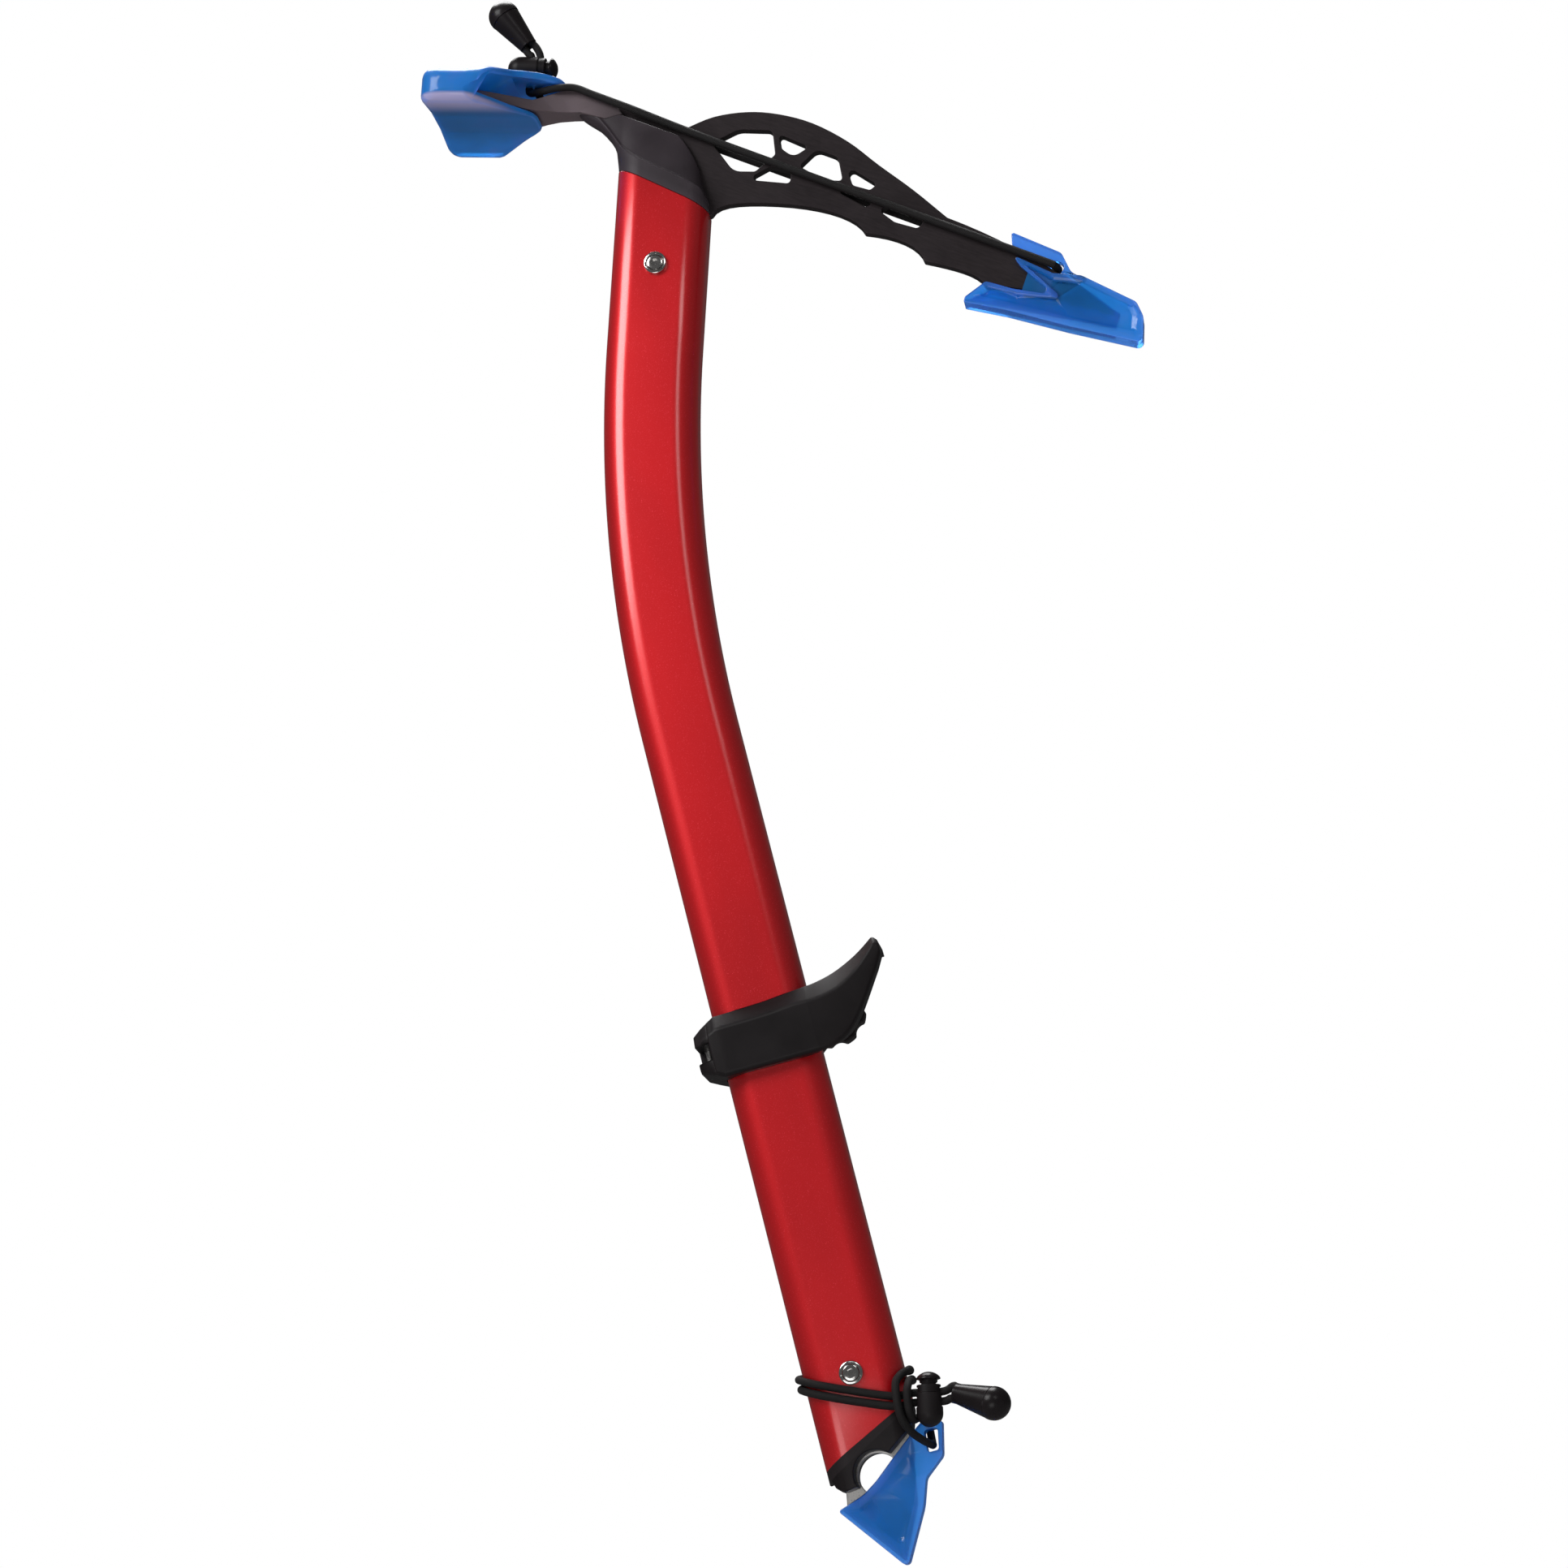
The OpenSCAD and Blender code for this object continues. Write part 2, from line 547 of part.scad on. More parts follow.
module spike_guard() {
    color(blue) difference() {
        plate(spike_guard_outline, spike_guard_y * 2);
        plate(spike_pocket, spike_t + guard_gap * 2);
        plate(loop_window, spike_guard_y * 3);
    }
}

// Cords: a tube of triangles swept along a path
sides = 6;
function tangents(path) =
    let (last = len(path) - 1) [for (i = [0:last]) unit(path[min(i + 1, last)] - path[max(i - 1, 0)])];
function carried(tan) =
    [for (i = 0, n = unit(cross(tan[0], [0.2, 0.9, 0.3])); i < len(tan);
          i = i + 1, n = unit(n - (n * tan[min(i, len(tan) - 1)]) * tan[min(i, len(tan) - 1)])) n];
function rings(path, r) =
    let (tan = tangents(path), side = carried(tan))
    [for (i = [0:len(path) - 1]) for (k = [0:sides - 1])
        path[i] + r * (cos(360 * k / sides) * side[i] + sin(360 * k / sides) * cross(tan[i], side[i]))];
function skin(count) = concat(
    [for (i = [0:count - 2]) for (k = [0:sides - 1]) each
        let (a = i * sides + k, b = i * sides + (k + 1) % sides) [[a, a + sides, b + sides], [a, b + sides, b]]],
    [for (k = [1:sides - 2]) [0, k, k + 1]],
    [for (k = [1:sides - 2]) let (end = (count - 1) * sides) [end, end + k + 1, end + k]]);
module tube(path) { polyhedron(rings(path, cord_r), skin(len(path))); }
// Least gap between stretches of a path that are far apart along it
function run(path) =
    [for (i = 0, d = 0; i < len(path); i = i + 1, d = i < len(path) ? d + norm(path[i] - path[i - 1]) : d) d];
function least_gap(path, apart) =
    let (at = run(path))
    min([for (i = [0:len(path) - 1]) for (j = [i + 1:1:len(path) - 1])
        if (at[j] - at[i] > apart) norm(path[i] - path[j]) - cord_d]);

// Head elastic, in the head's frame: bulb, toggle, tongue, along the head, round the fin and back
head_bulb = [-51.4, 0, 54.2];
head_bulb_tilt = -41;
head_bulb_dir = [sin(head_bulb_tilt), 0, cos(head_bulb_tilt)];
head_bulb_side = [cos(head_bulb_tilt), 0, -sin(head_bulb_tilt)];
head_toggle = [tongue_hole_x, 0, tongue_top + toggle_d / 2 + cord_gap];
strand_y_stem = stem_w / 2 + cord_gap * 2 + cord_r;
// Share of the cord line, and how far the strands have drawn in there from the stem to the plate
strand_run = [[0, 0], [0.04, 0], [0.12, 0.12], [0.2, 0.62], [0.28, 0.95], [0.36, 1], [0.5, 1], [0.75, 1]];
function head_strand(s) = concat(
    [for (back = [0.2, cord_d]) head_bulb + s * pair / 2 * 1.1 * head_bulb_side - back * head_bulb_dir],
    [for (z = [head_toggle.z + 4.6, head_toggle.z, tongue_low + 1]) [tongue_hole_x + s * pair / 2, 0, z]],
    [[tongue_hole_x + 0.6 + s * 1.3, s * 1.5, 36.4], [-44.6, s * 5.6, 35.5], [-39, s * (strand_y_stem + 0.3), 36.3]],
    [for (k = strand_run) let (p = cord_from + k[0] * (cord_to - cord_from))
        [p.x, s * (strand_y_stem + k[1] * (strand_y_pick - strand_y_stem)), p.y]]);
function fin_turn(a) = [cord_to.x + strand_y_pick * cos(a) * pick_dir.x, strand_y_pick * sin(a),
                        cord_to.y + strand_y_pick * cos(a) * pick_dir.y];
head_route = concat(head_strand(-1), [for (a = [-90:30:90]) fin_turn(a)], reversed(head_strand(1)));
head_path = spline(head_route, 3);
module head_elastic() { color(black) at_head() tube(head_path); }

// Spike elastic: bulb, toggle, across the near side, round the shaft, over the front edge to the guard and back
function corner_r(a) = cos(a) > 0 ? front_r : rear_r;
function hug(a, z) =
    let (r = corner_r(a), x = cos(a) > 0 ? half_w - front_r : -half_w + rear_r,
         y = sin(a) > 0 ? half_d - r : r - half_d, out = r + cord_gap + cord_r)
    [x + out * cos(a), y + out * sin(a), z];
near_y = -half_d - cord_gap - cord_r;
far_y = half_d + flange_t + cord_gap + cord_r;
toggle_slope = -12;
toggle_dir = [cos(toggle_slope), 0, sin(toggle_slope)];
toggle_up = [-sin(toggle_slope), 0, cos(toggle_slope)];
spike_toggle = [half_w + 6.2, near_y, 18.6];
spike_bulb = [half_w + 14.9, near_y - 1.35, 17.4];
spike_bulb_tilt = -28;
spike_bulb_swing = -28;
spike_bulb_dir = [cos(spike_bulb_tilt) * cos(spike_bulb_swing), cos(spike_bulb_tilt) * sin(spike_bulb_swing),
                  sin(spike_bulb_tilt)];
spike_bulb_up = unit(toggle_up - (toggle_up * spike_bulb_dir) * spike_bulb_dir);
// Angle round the shaft, height of the pair's middle above the clip hole, and spread of the pair
rear_winding = [[262, 28.6, 1.12], [235, 31, 1.12], [208, 33.1, 1.1], [180, 34.6, 1.05], [152, 35.2, 1], [125, 35.2, 1],
                [98, 34.8, 1.02]];
front_winding = [[82, 30.5, 1.05], [61, 29.7, 1.05], [40, 29.1, 1.05], [19, 28.6, 1.05], [0, 28.2, 1.05]];
function spike_strand(s) = concat(
    [for (back = [0.4, 1.6]) spike_bulb - back * spike_bulb_dir + s * pair / 2 * 1.3 * spike_bulb_up],
    [for (out = [4.4, -4.6]) spike_toggle + out * toggle_dir + s * pair / 2 * toggle_up],
    [[half_w - front_r + 3, near_y, 20.2 + s * pair / 2 * 1.1], [0, near_y, 24.7 + s * pair / 2 * 1.12]],
    [for (w = rear_winding) hug(w[0], w[1] + s * pair / 2 * w[2])],
    [[-5, far_y, 33.9 + s * pair / 2 * 1.05], [5, far_y, 31.9 + s * pair / 2 * 1.05]],
    [for (w = front_winding) hug(w[0], w[1] + s * pair / 2 * w[2])]);
// Over the front edge and in front of the pair, then through the loop of the guard
over_edge = concat([hug(-22, 29.2), hug(-44, 28.2)],
    [for (p = [[-3, -2.9, 25.6], [-3.7, -4.9, 20.6], [-3.9, -4.5, 14.4], [-2.2, -1.4, 9.6]])
        [half_w + p.x, p.y - half_d, p.z]],
    [[half_w + 0.5, -7.4, 6.4], [half_w + 2.1, -3.7, 5.1]]);
back_up = concat(
    [for (p = [[2.4, 0.7, 5.7], [2.5, 2.2, 9], [2.8, 1.8, 13.4]]) [half_w + p.x, p.y + spike_guard_y, p.z]],
    [[half_w + 2.4, 0, 15.2], [half_w + 1.2, -6, 14]],
    [for (p = [[-0.5, -1.1, 13], [-0.8, -4.2, 15.2], [-0.5, -5, 19], [0.3, -4.6, 22.6], [1.1, -0.6, 25.2]])
        [half_w + p.x, p.y - half_d, p.z]],
    [hug(-18, 26.2)]);
spike_route = concat(spike_strand(1), over_edge, [[spike_bight.x, 0, spike_bight.y]], back_up,
                     reversed(spike_strand(-1)));
spike_path = spline(spike_route, 3);
module spike_elastic() { color(black) tube(spike_path); }
echo(head_elastic_least_gap = least_gap(head_path, 11), spike_elastic_least_gap = least_gap(spike_path, 11));

// Cord ends: a cone that ends in a ball
module cord_end() {
    cylinder(r1 = bulb_mouth_r, r2 = bulb_r * 0.985, h = bulb_len);
    translate([0, 0, bulb_len]) sphere(bulb_r);
}
module head_cord_end() { color(black) at_head() translate(head_bulb) rotate([0, head_bulb_tilt, 0]) cord_end(); }
module spike_cord_end() {
    color(black) translate(spike_bulb) rotate([0, 90 - spike_bulb_tilt, spike_bulb_swing]) cord_end();
}

// Toggle: a ball-ended cup whose slot takes the two strands one above the other, and a sprung plunger
slot_h = pair + cord_d + cord_gap;
slot_w = cord_d + cord_gap * 2;
cup_top = slot_h / 2 + 0.9;
plunger_low = -slot_h / 2 - 1.2;
cup_floor = -toggle_depth + 2.4;
ball_z = -toggle_depth + toggle_d / 2;
toggle_seam = 1.4;
module toggle_body() {
    difference() {
        union() {
            translate([0, 0, ball_z]) sphere(d = toggle_d);
            translate([0, 0, ball_z]) cylinder(d = toggle_d, h = toggle_seam - ball_z);
            cylinder(d = toggle_neck_d, h = cup_top);
        }
        translate([0, 0, cup_floor]) cylinder(d = plunger_d + plunger_gap * 2, h = big);
        cube([toggle_d * 2, slot_w, slot_h], center = true);
    }
}
module toggle_plunger() {
    dome_low = cup_top + press + 0.2;
    difference() {
        union() {
            translate([0, 0, plunger_low]) cylinder(d = plunger_d, h = dome_low - plunger_low);
            translate([0, 0, dome_low]) cylinder(d = toggle_neck_d, h = 0.6);
            intersection() {
                translate([0, 0, dome_low + 0.6 - toggle_neck_d * 0.38]) sphere(d = toggle_neck_d * 1.259);
                translate([0, 0, dome_low + 0.5]) cylinder(d = toggle_neck_d, h = toggle_neck_d);
            }
        }
        translate([-toggle_d, -slot_w / 2, -slot_h / 2]) cube([toggle_d * 2, slot_w, slot_h + press]);
    }
}
module toggle_spring() {
    translate([0, 0, cup_floor]) difference() {
        cylinder(d = plunger_d - 0.6, h = plunger_low - cup_floor);
        cylinder(d = plunger_d - 2, h = big);
    }
}
module at_head_toggle() { at_head() translate(head_toggle) rotate([0, 90, 0]) children(); }
module at_spike_toggle() { translate(spike_toggle) rotate([0, -toggle_slope, 0]) children(); }
module head_toggle_body() { color(black) at_head_toggle() toggle_body(); }
module head_toggle_plunger() { color(black) at_head_toggle() toggle_plunger(); }
module head_toggle_spring() { color(steel) at_head_toggle() toggle_spring(); }
module spike_toggle_body() { color(black) at_spike_toggle() toggle_body(); }
module spike_toggle_plunger() { color(black) at_spike_toggle() toggle_plunger(); }
module spike_toggle_spring() { color(steel) at_spike_toggle() toggle_spring(); }

// Finger rest: two shells hinged at the rear and drawn together by a thumbscrew in front of the shaft
clamp_x = -half_w - clamp_gap - clamp_rear;
clamp_y = half_d + clamp_gap + clamp_wall;
low = -clamp_h / 2;
top = clamp_h / 2;
pin_x = clamp_x + 3.2;
knuckle_z = -1;
stud_x = half_w + clamp_gap + stud_r + 1.9;
front = half_w;
horn_side = concat(
    [[clamp_x, low + 3.6], [clamp_x + 8, low], [front + 2.5, low]],
    bezier([front + 2.5, low], [front + 12, low + 1], [front + 15, low + 8], [front + 24, low + 21.6]),
    [[front + 27, low + 27], [front + 27, low + 32], [front + 25.4, low + 33.8]],
    bezier([front + 25.4, low + 33.8], [front + 18, low + 28], [front + 8, low + 23.6], [front + 1, top + 2]),
    [[clamp_x + 8, top], [clamp_x, top - 4.4]]);
horn_plan = [for (s = [-1, 1]) each (s < 0
    ? [[clamp_x, -10.6], [clamp_x + 3, -13.6], [clamp_x + 9, -clamp_y], [front + 2, -clamp_y], [front + 15, -12.5],
       [front + 28, -9.5]]
    : [[front + 28, 9.5], [front + 15, 12.5], [front + 2, clamp_y], [clamp_x + 9, clamp_y], [clamp_x + 3, 13.6],
       [clamp_x, 10.6]])];
bevel = 4.6;
module finger_rest() {
    difference() {
        intersection() {
            plate(horn_side, clamp_y * 4);
            translate([0, 0, -big / 2]) linear_extrude(big) polygon(horn_plan);
        }
        translate([0, 0, -big / 2]) linear_extrude(big) section(clamp_gap);
        for (s = [-1, 1]) translate([clamp_x - 1, s * clamp_y, top - bevel]) rotate([45, 0, 0])
            cube([front - clamp_x + 1, bevel * 4, bevel * 4]);
    }
}
module at_trigger() { translate([0, 0, trigger_z]) children(); }
module half(s) { translate([-big / 2, s > 0 ? split / 2 : -big - split / 2, -big / 2]) cube(big); }
// The near shell is notched right through at the knuckle, and the knuckle is cut back there to show the pin
module knuckle(grow) {
    translate([pin_x, 0, knuckle_z - knuckle_h / 2 - grow]) cylinder(r = 3 + grow, h = knuckle_h + grow * 2);
}
module knuckle_posts() {
    for (s = [-1, 1]) translate([pin_x, 0, knuckle_z + s * (knuckle_h / 2 + clamp_gap + 2) - 2])
        cylinder(r = 3, h = 4);
}
module pin_hole(gap) { translate([pin_x, 0, low - 1]) cylinder(r = pin_r + gap, h = clamp_h + 2); }
module stud_hole(gap) {
    translate([stud_x, 0, stud_up]) rotate([90, 0, 0]) cylinder(r = stud_r + gap, h = big, center = true);
}
nut_y = split / 2 + 2;
module nut_shape(gap) {
    translate([stud_x, -nut_y + gap, stud_up]) rotate([90, 30, 0])
        cylinder(d = nut_w + gap * 2, h = nut_t + gap * 2, $fn = 6);
}
module trigger_near_shell() {
    color(black) at_trigger() difference() {
        union() {
            intersection() {
                finger_rest();
                half(-1);
            }
            intersection() {
                knuckle_posts();
                translate([clamp_x, -3, low + 3.6]) cube([6, 6, clamp_h - 8]);
            }
        }
        knuckle(clamp_gap);
        translate([clamp_x - 1, -clamp_y - 1, knuckle_z - knuckle_h / 2 - clamp_gap])
            cube([pin_x + pin_r + 0.4 - clamp_x + 1, clamp_y + 7, knuckle_h + clamp_gap * 2]);
        pin_hole(0);
        nut_shape(fit_gap);
        intersection() {
            stud_hole(nut_slack);
            translate([0, -nut_y - nut_t - 2, -big / 2]) cube([big, big, big]);
        }
    }
}
module trigger_far_shell() {
    color(black) at_trigger() difference() {
        union() {
            difference() {
                intersection() {
                    finger_rest();
                    half(1);
                }
                for (s = [-1, 1]) translate([pin_x, 0, knuckle_z + s * (knuckle_h / 2 + big / 2)])
                    cylinder(r = 3 + clamp_gap, h = big, center = true);
            }
            knuckle(0);
        }
        pin_hole(running_gap);
        stud_hole(running_gap);
        translate([clamp_x - 1, -big - pin_r * 0.6, -big / 2]) cube(big);
    }
}
module trigger_hinge_pin() {
    color(steel) at_trigger() translate([pin_x, 0, low + 3]) cylinder(r = pin_r, h = clamp_h - 7);
}
module trigger_nut() {
    color(steel) at_trigger() difference() {
        nut_shape(0);
        stud_hole(nut_slack);
    }
}
knob_y = clamp_y + clamp_gap;
module thumbscrew_knob() {
    color(black) at_trigger() translate([stud_x, knob_y, stud_up]) rotate([-90, 0, 0]) difference() {
        cylinder(r = knob_r, h = knob_t);
        for (a = [0:45:315]) rotate(a) translate([knob_r + 2, 0, -1]) cylinder(r = 3.4, h = knob_t + 2);
        translate([0, 0, -1]) cylinder(r = stud_r + 0.02, h = knob_t);
    }
}
module thumbscrew_stud() {
    from = -nut_y - nut_t - 1;
    color(steel) at_trigger() translate([stud_x, from, stud_up]) rotate([-90, 0, 0])
        cylinder(r = stud_r, h = knob_y + knob_t - 1 - from);
}

shaft();
head();
head_collar();
bolts();
bolt_ferrules();
barrel_nuts();
spike_plug();
spike();
adze_guard();
pick_guard();
spike_guard();
head_elastic();
spike_elastic();
head_cord_end();
spike_cord_end();
head_toggle_body();
head_toggle_plunger();
head_toggle_spring();
spike_toggle_body();
spike_toggle_plunger();
spike_toggle_spring();
trigger_near_shell();
trigger_far_shell();
trigger_hinge_pin();
trigger_nut();
thumbscrew_knob();
thumbscrew_stud();
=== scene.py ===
"""Ice axe with elastic-held blade guards: its finishes and its modelled pieces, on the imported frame."""
import math

import bmesh
import bpy
from bpy.props import FloatProperty, FloatVectorProperty, IntProperty, PointerProperty
from mathutils import Matrix, Vector


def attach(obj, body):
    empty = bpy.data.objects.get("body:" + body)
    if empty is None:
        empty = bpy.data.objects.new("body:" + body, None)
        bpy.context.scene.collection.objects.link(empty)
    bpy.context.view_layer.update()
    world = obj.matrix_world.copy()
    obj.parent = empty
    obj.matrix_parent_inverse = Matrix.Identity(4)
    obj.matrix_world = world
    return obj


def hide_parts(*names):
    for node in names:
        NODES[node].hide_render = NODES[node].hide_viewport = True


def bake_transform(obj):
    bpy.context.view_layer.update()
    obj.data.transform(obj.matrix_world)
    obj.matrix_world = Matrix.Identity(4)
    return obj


bl_info = {
    "name": "Ice Axe",
    "version": (1, 0, 0),
    "blender": (4, 5, 0),
    "location": "3D View > Sidebar > Ice Axe",
    "description": "Dresses the packed ice axe: shaft, head, covers, cords and finger rest",
    "category": "Object",
}

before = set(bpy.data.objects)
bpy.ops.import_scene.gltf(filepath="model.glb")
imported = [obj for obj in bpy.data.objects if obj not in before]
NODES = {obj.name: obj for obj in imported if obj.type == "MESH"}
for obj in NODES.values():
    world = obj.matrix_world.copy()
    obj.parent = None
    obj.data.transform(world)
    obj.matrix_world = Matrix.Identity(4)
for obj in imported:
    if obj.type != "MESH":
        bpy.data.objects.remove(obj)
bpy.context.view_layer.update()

# Shaft, in millimetres
HALF_W = 16.25
HALF_D = 10.5
REAR_R = 9.0
FRONT_R = 8.0
WALL = 1.6
BEND = math.radians(17.5)
BEND_RADIUS = 440.0
BEND_START = 255.0
UPPER = 56.0
CROWN = math.radians(24)
FOOT = math.radians(28)
FOOT_Z = 9.8
SEEN_FOOT_Z = 12.0
SEEN_FOOT = math.radians(25.6)
FINGER_REST_Z = 146.0

# The head's own frame: its origin lies on the shaft's axis at the slanted top, and it leans with the bend
HEAD_X = BEND_RADIUS * (1 - math.cos(BEND)) + UPPER * math.sin(BEND)
HEAD_Z = BEND_START + BEND_RADIUS * math.sin(BEND) + UPPER * math.cos(BEND)
HEAD = Matrix.Translation((HEAD_X / 1000, 0, HEAD_Z / 1000)) @ Matrix.Rotation(BEND, 4, "Y")
SIDEWAYS = Matrix.Rotation(math.pi / 2, 4, "X")
LOWER_BOLT = 32.6
UPPER_BOLT = -28.0
BOLT_PLACES = (Matrix.Translation((0, 0, LOWER_BOLT / 1000)) @ SIDEWAYS,
               HEAD @ Matrix.Translation((0, 0, UPPER_BOLT / 1000)) @ SIDEWAYS)

# Cords and what they pass through, in millimetres
CORD_R = 1.3
CORD_PARTS = 45.0
BRAID_STRANDS = 6.0
BRAID_PITCH = 1.3
PAIR = 1.55
CORD_FROM = Vector((-33, 0, 36.6))
CORD_TO = Vector((133.2, 0, -23.4))
CORD_DIR = (CORD_TO - CORD_FROM).normalized()
STRAND_STEM = 6.5
STRAND_PICK = 3.65
HEAD_BULB = Vector((-51.4, 0, 54.2))
HEAD_BULB_TILT = math.radians(-41)
HEAD_TOGGLE = Vector((-48.6, 0, 45.75))
TOGGLE_SLOPE = math.radians(-12)
SPIKE_TOGGLE = Vector((HALF_W + 6.2, -12.15, 18.6))
SPIKE_BULB = Vector((HALF_W + 14.9, -13.5, 17.4))
SPIKE_BULB_TILT = math.radians(-28)
SPIKE_BULB_SWING = math.radians(-28)
NEAR_Y = -12.15
FAR_Y = 13.45
SPIKE_GUARD_Y = 3.7

# Sunk panels of the covers, in millimetres, and the angle past which an edge is shaded sharp
PANEL_DEPTH = 0.9
PANEL_SLOPE = 1.3
SHARP = math.radians(38)

# The turn of the steel's grain, and where the painted highlight on the stem and the painted sheen and shade
# under the adze cover's lip begin and end, in millimetres with the head turned level
GRAIN_TURN = math.radians(-37)
LEVEL_HEAD = (0, -BEND, 0)
STEM_HIGHLIGHT_SPAN = (-132.0, -106.0)
LIP_BELOW = (456.4, 457.8)
LIP_SHEEN_SPAN = (-28.0, -10.0)
LIP_SHADE_SPAN = (2.0, 18.0)


class AxeStage(bpy.types.PropertyGroup):
    """Camera, light and floor"""
    distance: FloatProperty(name="Distance", description="From the camera to the axe", default=1.5,
                            unit="LENGTH")
    frame_width: FloatProperty(name="Frame width", description="Width of the view at the axe",
                               default=0.52164, unit="LENGTH")
    pitch: FloatProperty(name="Pitch", description="Camera's height angle", default=math.radians(-14),
                         subtype="ANGLE")
    yaw: FloatProperty(name="Yaw", description="Camera's turn towards the pick", default=math.radians(3.7),
                       subtype="ANGLE")
    lean: FloatProperty(name="Lean", description="Lean of the grip in the view", default=math.radians(14.55),
                        subtype="ANGLE")
    target: FloatVectorProperty(name="Target", description="Point at the middle of the view",
                                default=(0.02598, 0.0, 0.22855), subtype="TRANSLATION")
    floor_drop: FloatProperty(name="Floor", description="Height of the floor", default=-0.40, unit="LENGTH")
    surround: FloatProperty(name="Surround", description="Light of the surroundings on the axe", default=0.27,
                            min=0, max=1, subtype="FACTOR")


class AxeColours(bpy.types.PropertyGroup):
    """Colours of the finishes"""
    red: FloatVectorProperty(name="Shaft", description="Anodised shaft", subtype="COLOR", min=0, max=1,
                             default=(0.76, 0.005, 0.011))
    steel: FloatVectorProperty(name="Head", description="Dark steel of the head", subtype="COLOR", min=0,
                               max=1, default=(0.022, 0.0175, 0.019))
    # The stem colour is a painted highlight on the steel towards the adze
    stem_highlight: FloatVectorProperty(name="Stem", description="Paler steel towards the adze", subtype="COLOR", min=0,
                              max=1, default=(0.19, 0.15, 0.165))
    collar: FloatVectorProperty(name="Collar", description="Moulded collar", subtype="COLOR", min=0, max=1,
                                default=(0.034, 0.027, 0.032))
    black: FloatVectorProperty(name="Mouldings", description="Black mouldings", subtype="COLOR", min=0, max=1,
                               default=(0.0095, 0.0075, 0.0082))
    blue: FloatVectorProperty(name="Covers", description="Translucent blade covers", subtype="COLOR", min=0,
                              max=1, default=(0.012, 0.25, 0.74))
    haze: FloatVectorProperty(name="Haze", description="Cloudy tone in the covers", subtype="COLOR", min=0,
                              max=1, default=(0.07, 0.22, 0.72))
    # The lip colour is a painted sheen, the pale lavender of light reflected under the adze cover's near lip
    lip: FloatVectorProperty(name="Lip", description="Pale underside of the adze cover's near lip",
                             subtype="COLOR", min=0, max=1, default=(0.66, 0.58, 0.84))
    cord: FloatVectorProperty(name="Elastic", description="Woven elastic", subtype="COLOR", min=0, max=1,
                              default=(0.0075, 0.0062, 0.0066))
    bright: FloatVectorProperty(name="Bright steel", description="Bolts and spike", subtype="COLOR", min=0,
                                max=1, default=(0.74, 0.72, 0.70))


class AxeSizes(bpy.types.PropertyGroup):
    """Sizes of the modelled detail"""
    steel_edge: FloatProperty(name="Steel edge", description="Rounding of the head's edges", default=0.00035,
                              unit="LENGTH")
    fixing_edge: FloatProperty(name="Fixing edge", description="Rounding of the spike's and the nuts' edges",
                               default=0.0003, unit="LENGTH")
    moulded_edge: FloatProperty(name="Moulded edge", description="Rounding of the collar and the plungers",
                                default=0.0004, unit="LENGTH")
    shell_edge: FloatProperty(name="Shell edge", description="Rounding of the finger rest and the cord locks",
                              default=0.00035, unit="LENGTH")
    cover_edge: FloatProperty(name="Cover edge", description="Rounding of the covers' edges", default=0.0004,
                              unit="LENGTH")
    cord_sides: IntProperty(name="Cord sides", description="Sides of a cord's tube", default=16, min=8,
                            max=32)
    cord_steps: IntProperty(name="Cord steps", description="Stations between two points of a cord", default=8,
                            min=3, max=16)


def stage_settings():
    return bpy.context.scene.axe_stage


def colours():
    return bpy.context.scene.axe_colours


def sizes():
    return bpy.context.scene.axe_sizes


def on_head(x, y, z):
    """A point of the head's frame, in millimetres, as a place in metres"""
    return HEAD @ Vector((x / 1000, y / 1000, z / 1000))


def new_material(name):
    """A node material with its tree and its Principled shader"""
    material = bpy.data.materials.new(name)
    material.use_nodes = True
    tree = material.node_tree
    return material, tree, tree.nodes["Principled BSDF"]


def put(tree, socket, value):
    """Gives an input a plain value, or a link from another node's output"""
    if isinstance(value, bpy.types.NodeSocket):
        tree.links.new(value, socket)
    else:
        socket.default_value = value


def put_all(tree, target, inputs):
    for key, value in inputs.items():
        put(tree, target.inputs[key], value)


def node(tree, kind, inputs=None, **settings):
    """A node with its settings, and with inputs that are given by name or number"""
    made = tree.nodes.new(kind)
    for key, value in settings.items():
        setattr(made, key, value)
    put_all(tree, made, inputs or {})
    return made


def place(tree, scale=(1, 1, 1), turn=(0, 0, 0)):
    """Object coordinates in millimetres, turned and then scaled"""
    where = node(tree, "ShaderNodeTexCoord").outputs["Object"]
    leaning = node(tree, "ShaderNodeMapping", {"Vector": where, "Rotation": turn}).outputs["Vector"]
    inputs = {"Vector": leaning, "Scale": tuple(1000 * s for s in scale)}
    return node(tree, "ShaderNodeMapping", inputs).outputs["Vector"]


def axes(tree, vector):
    """The coordinates of a vector, by their letters"""
    return node(tree, "ShaderNodeSeparateXYZ", {"Vector": vector}).outputs


def noise(tree, vector, scale, detail=3.0, roughness=0.5):
    inputs = {"Vector": vector, "Scale": scale, "Detail": detail, "Roughness": roughness}
    return node(tree, "ShaderNodeTexNoise", inputs).outputs["Fac"]


def ramp(tree, factor, *stops):
    """A colour ramp through stops of position and colour"""
    made = node(tree, "ShaderNodeValToRGB", {"Fac": factor})
    elements = made.color_ramp.elements
    while len(elements) < len(stops):
        elements.new(0.5)
    for element, (position, colour) in zip(elements, stops):
        element.position = position
        element.color = (*colour, 1)
    return made.outputs["Color"]


def spread(tree, factor, low, high, start=0.0, end=1.0):
    """Goes smoothly from low to high as the factor goes from start to end"""
    inputs = {"Value": factor, "From Min": start, "From Max": end, "To Min": low, "To Max": high}
    return node(tree, "ShaderNodeMapRange", inputs, interpolation_type="SMOOTHSTEP").outputs["Result"]


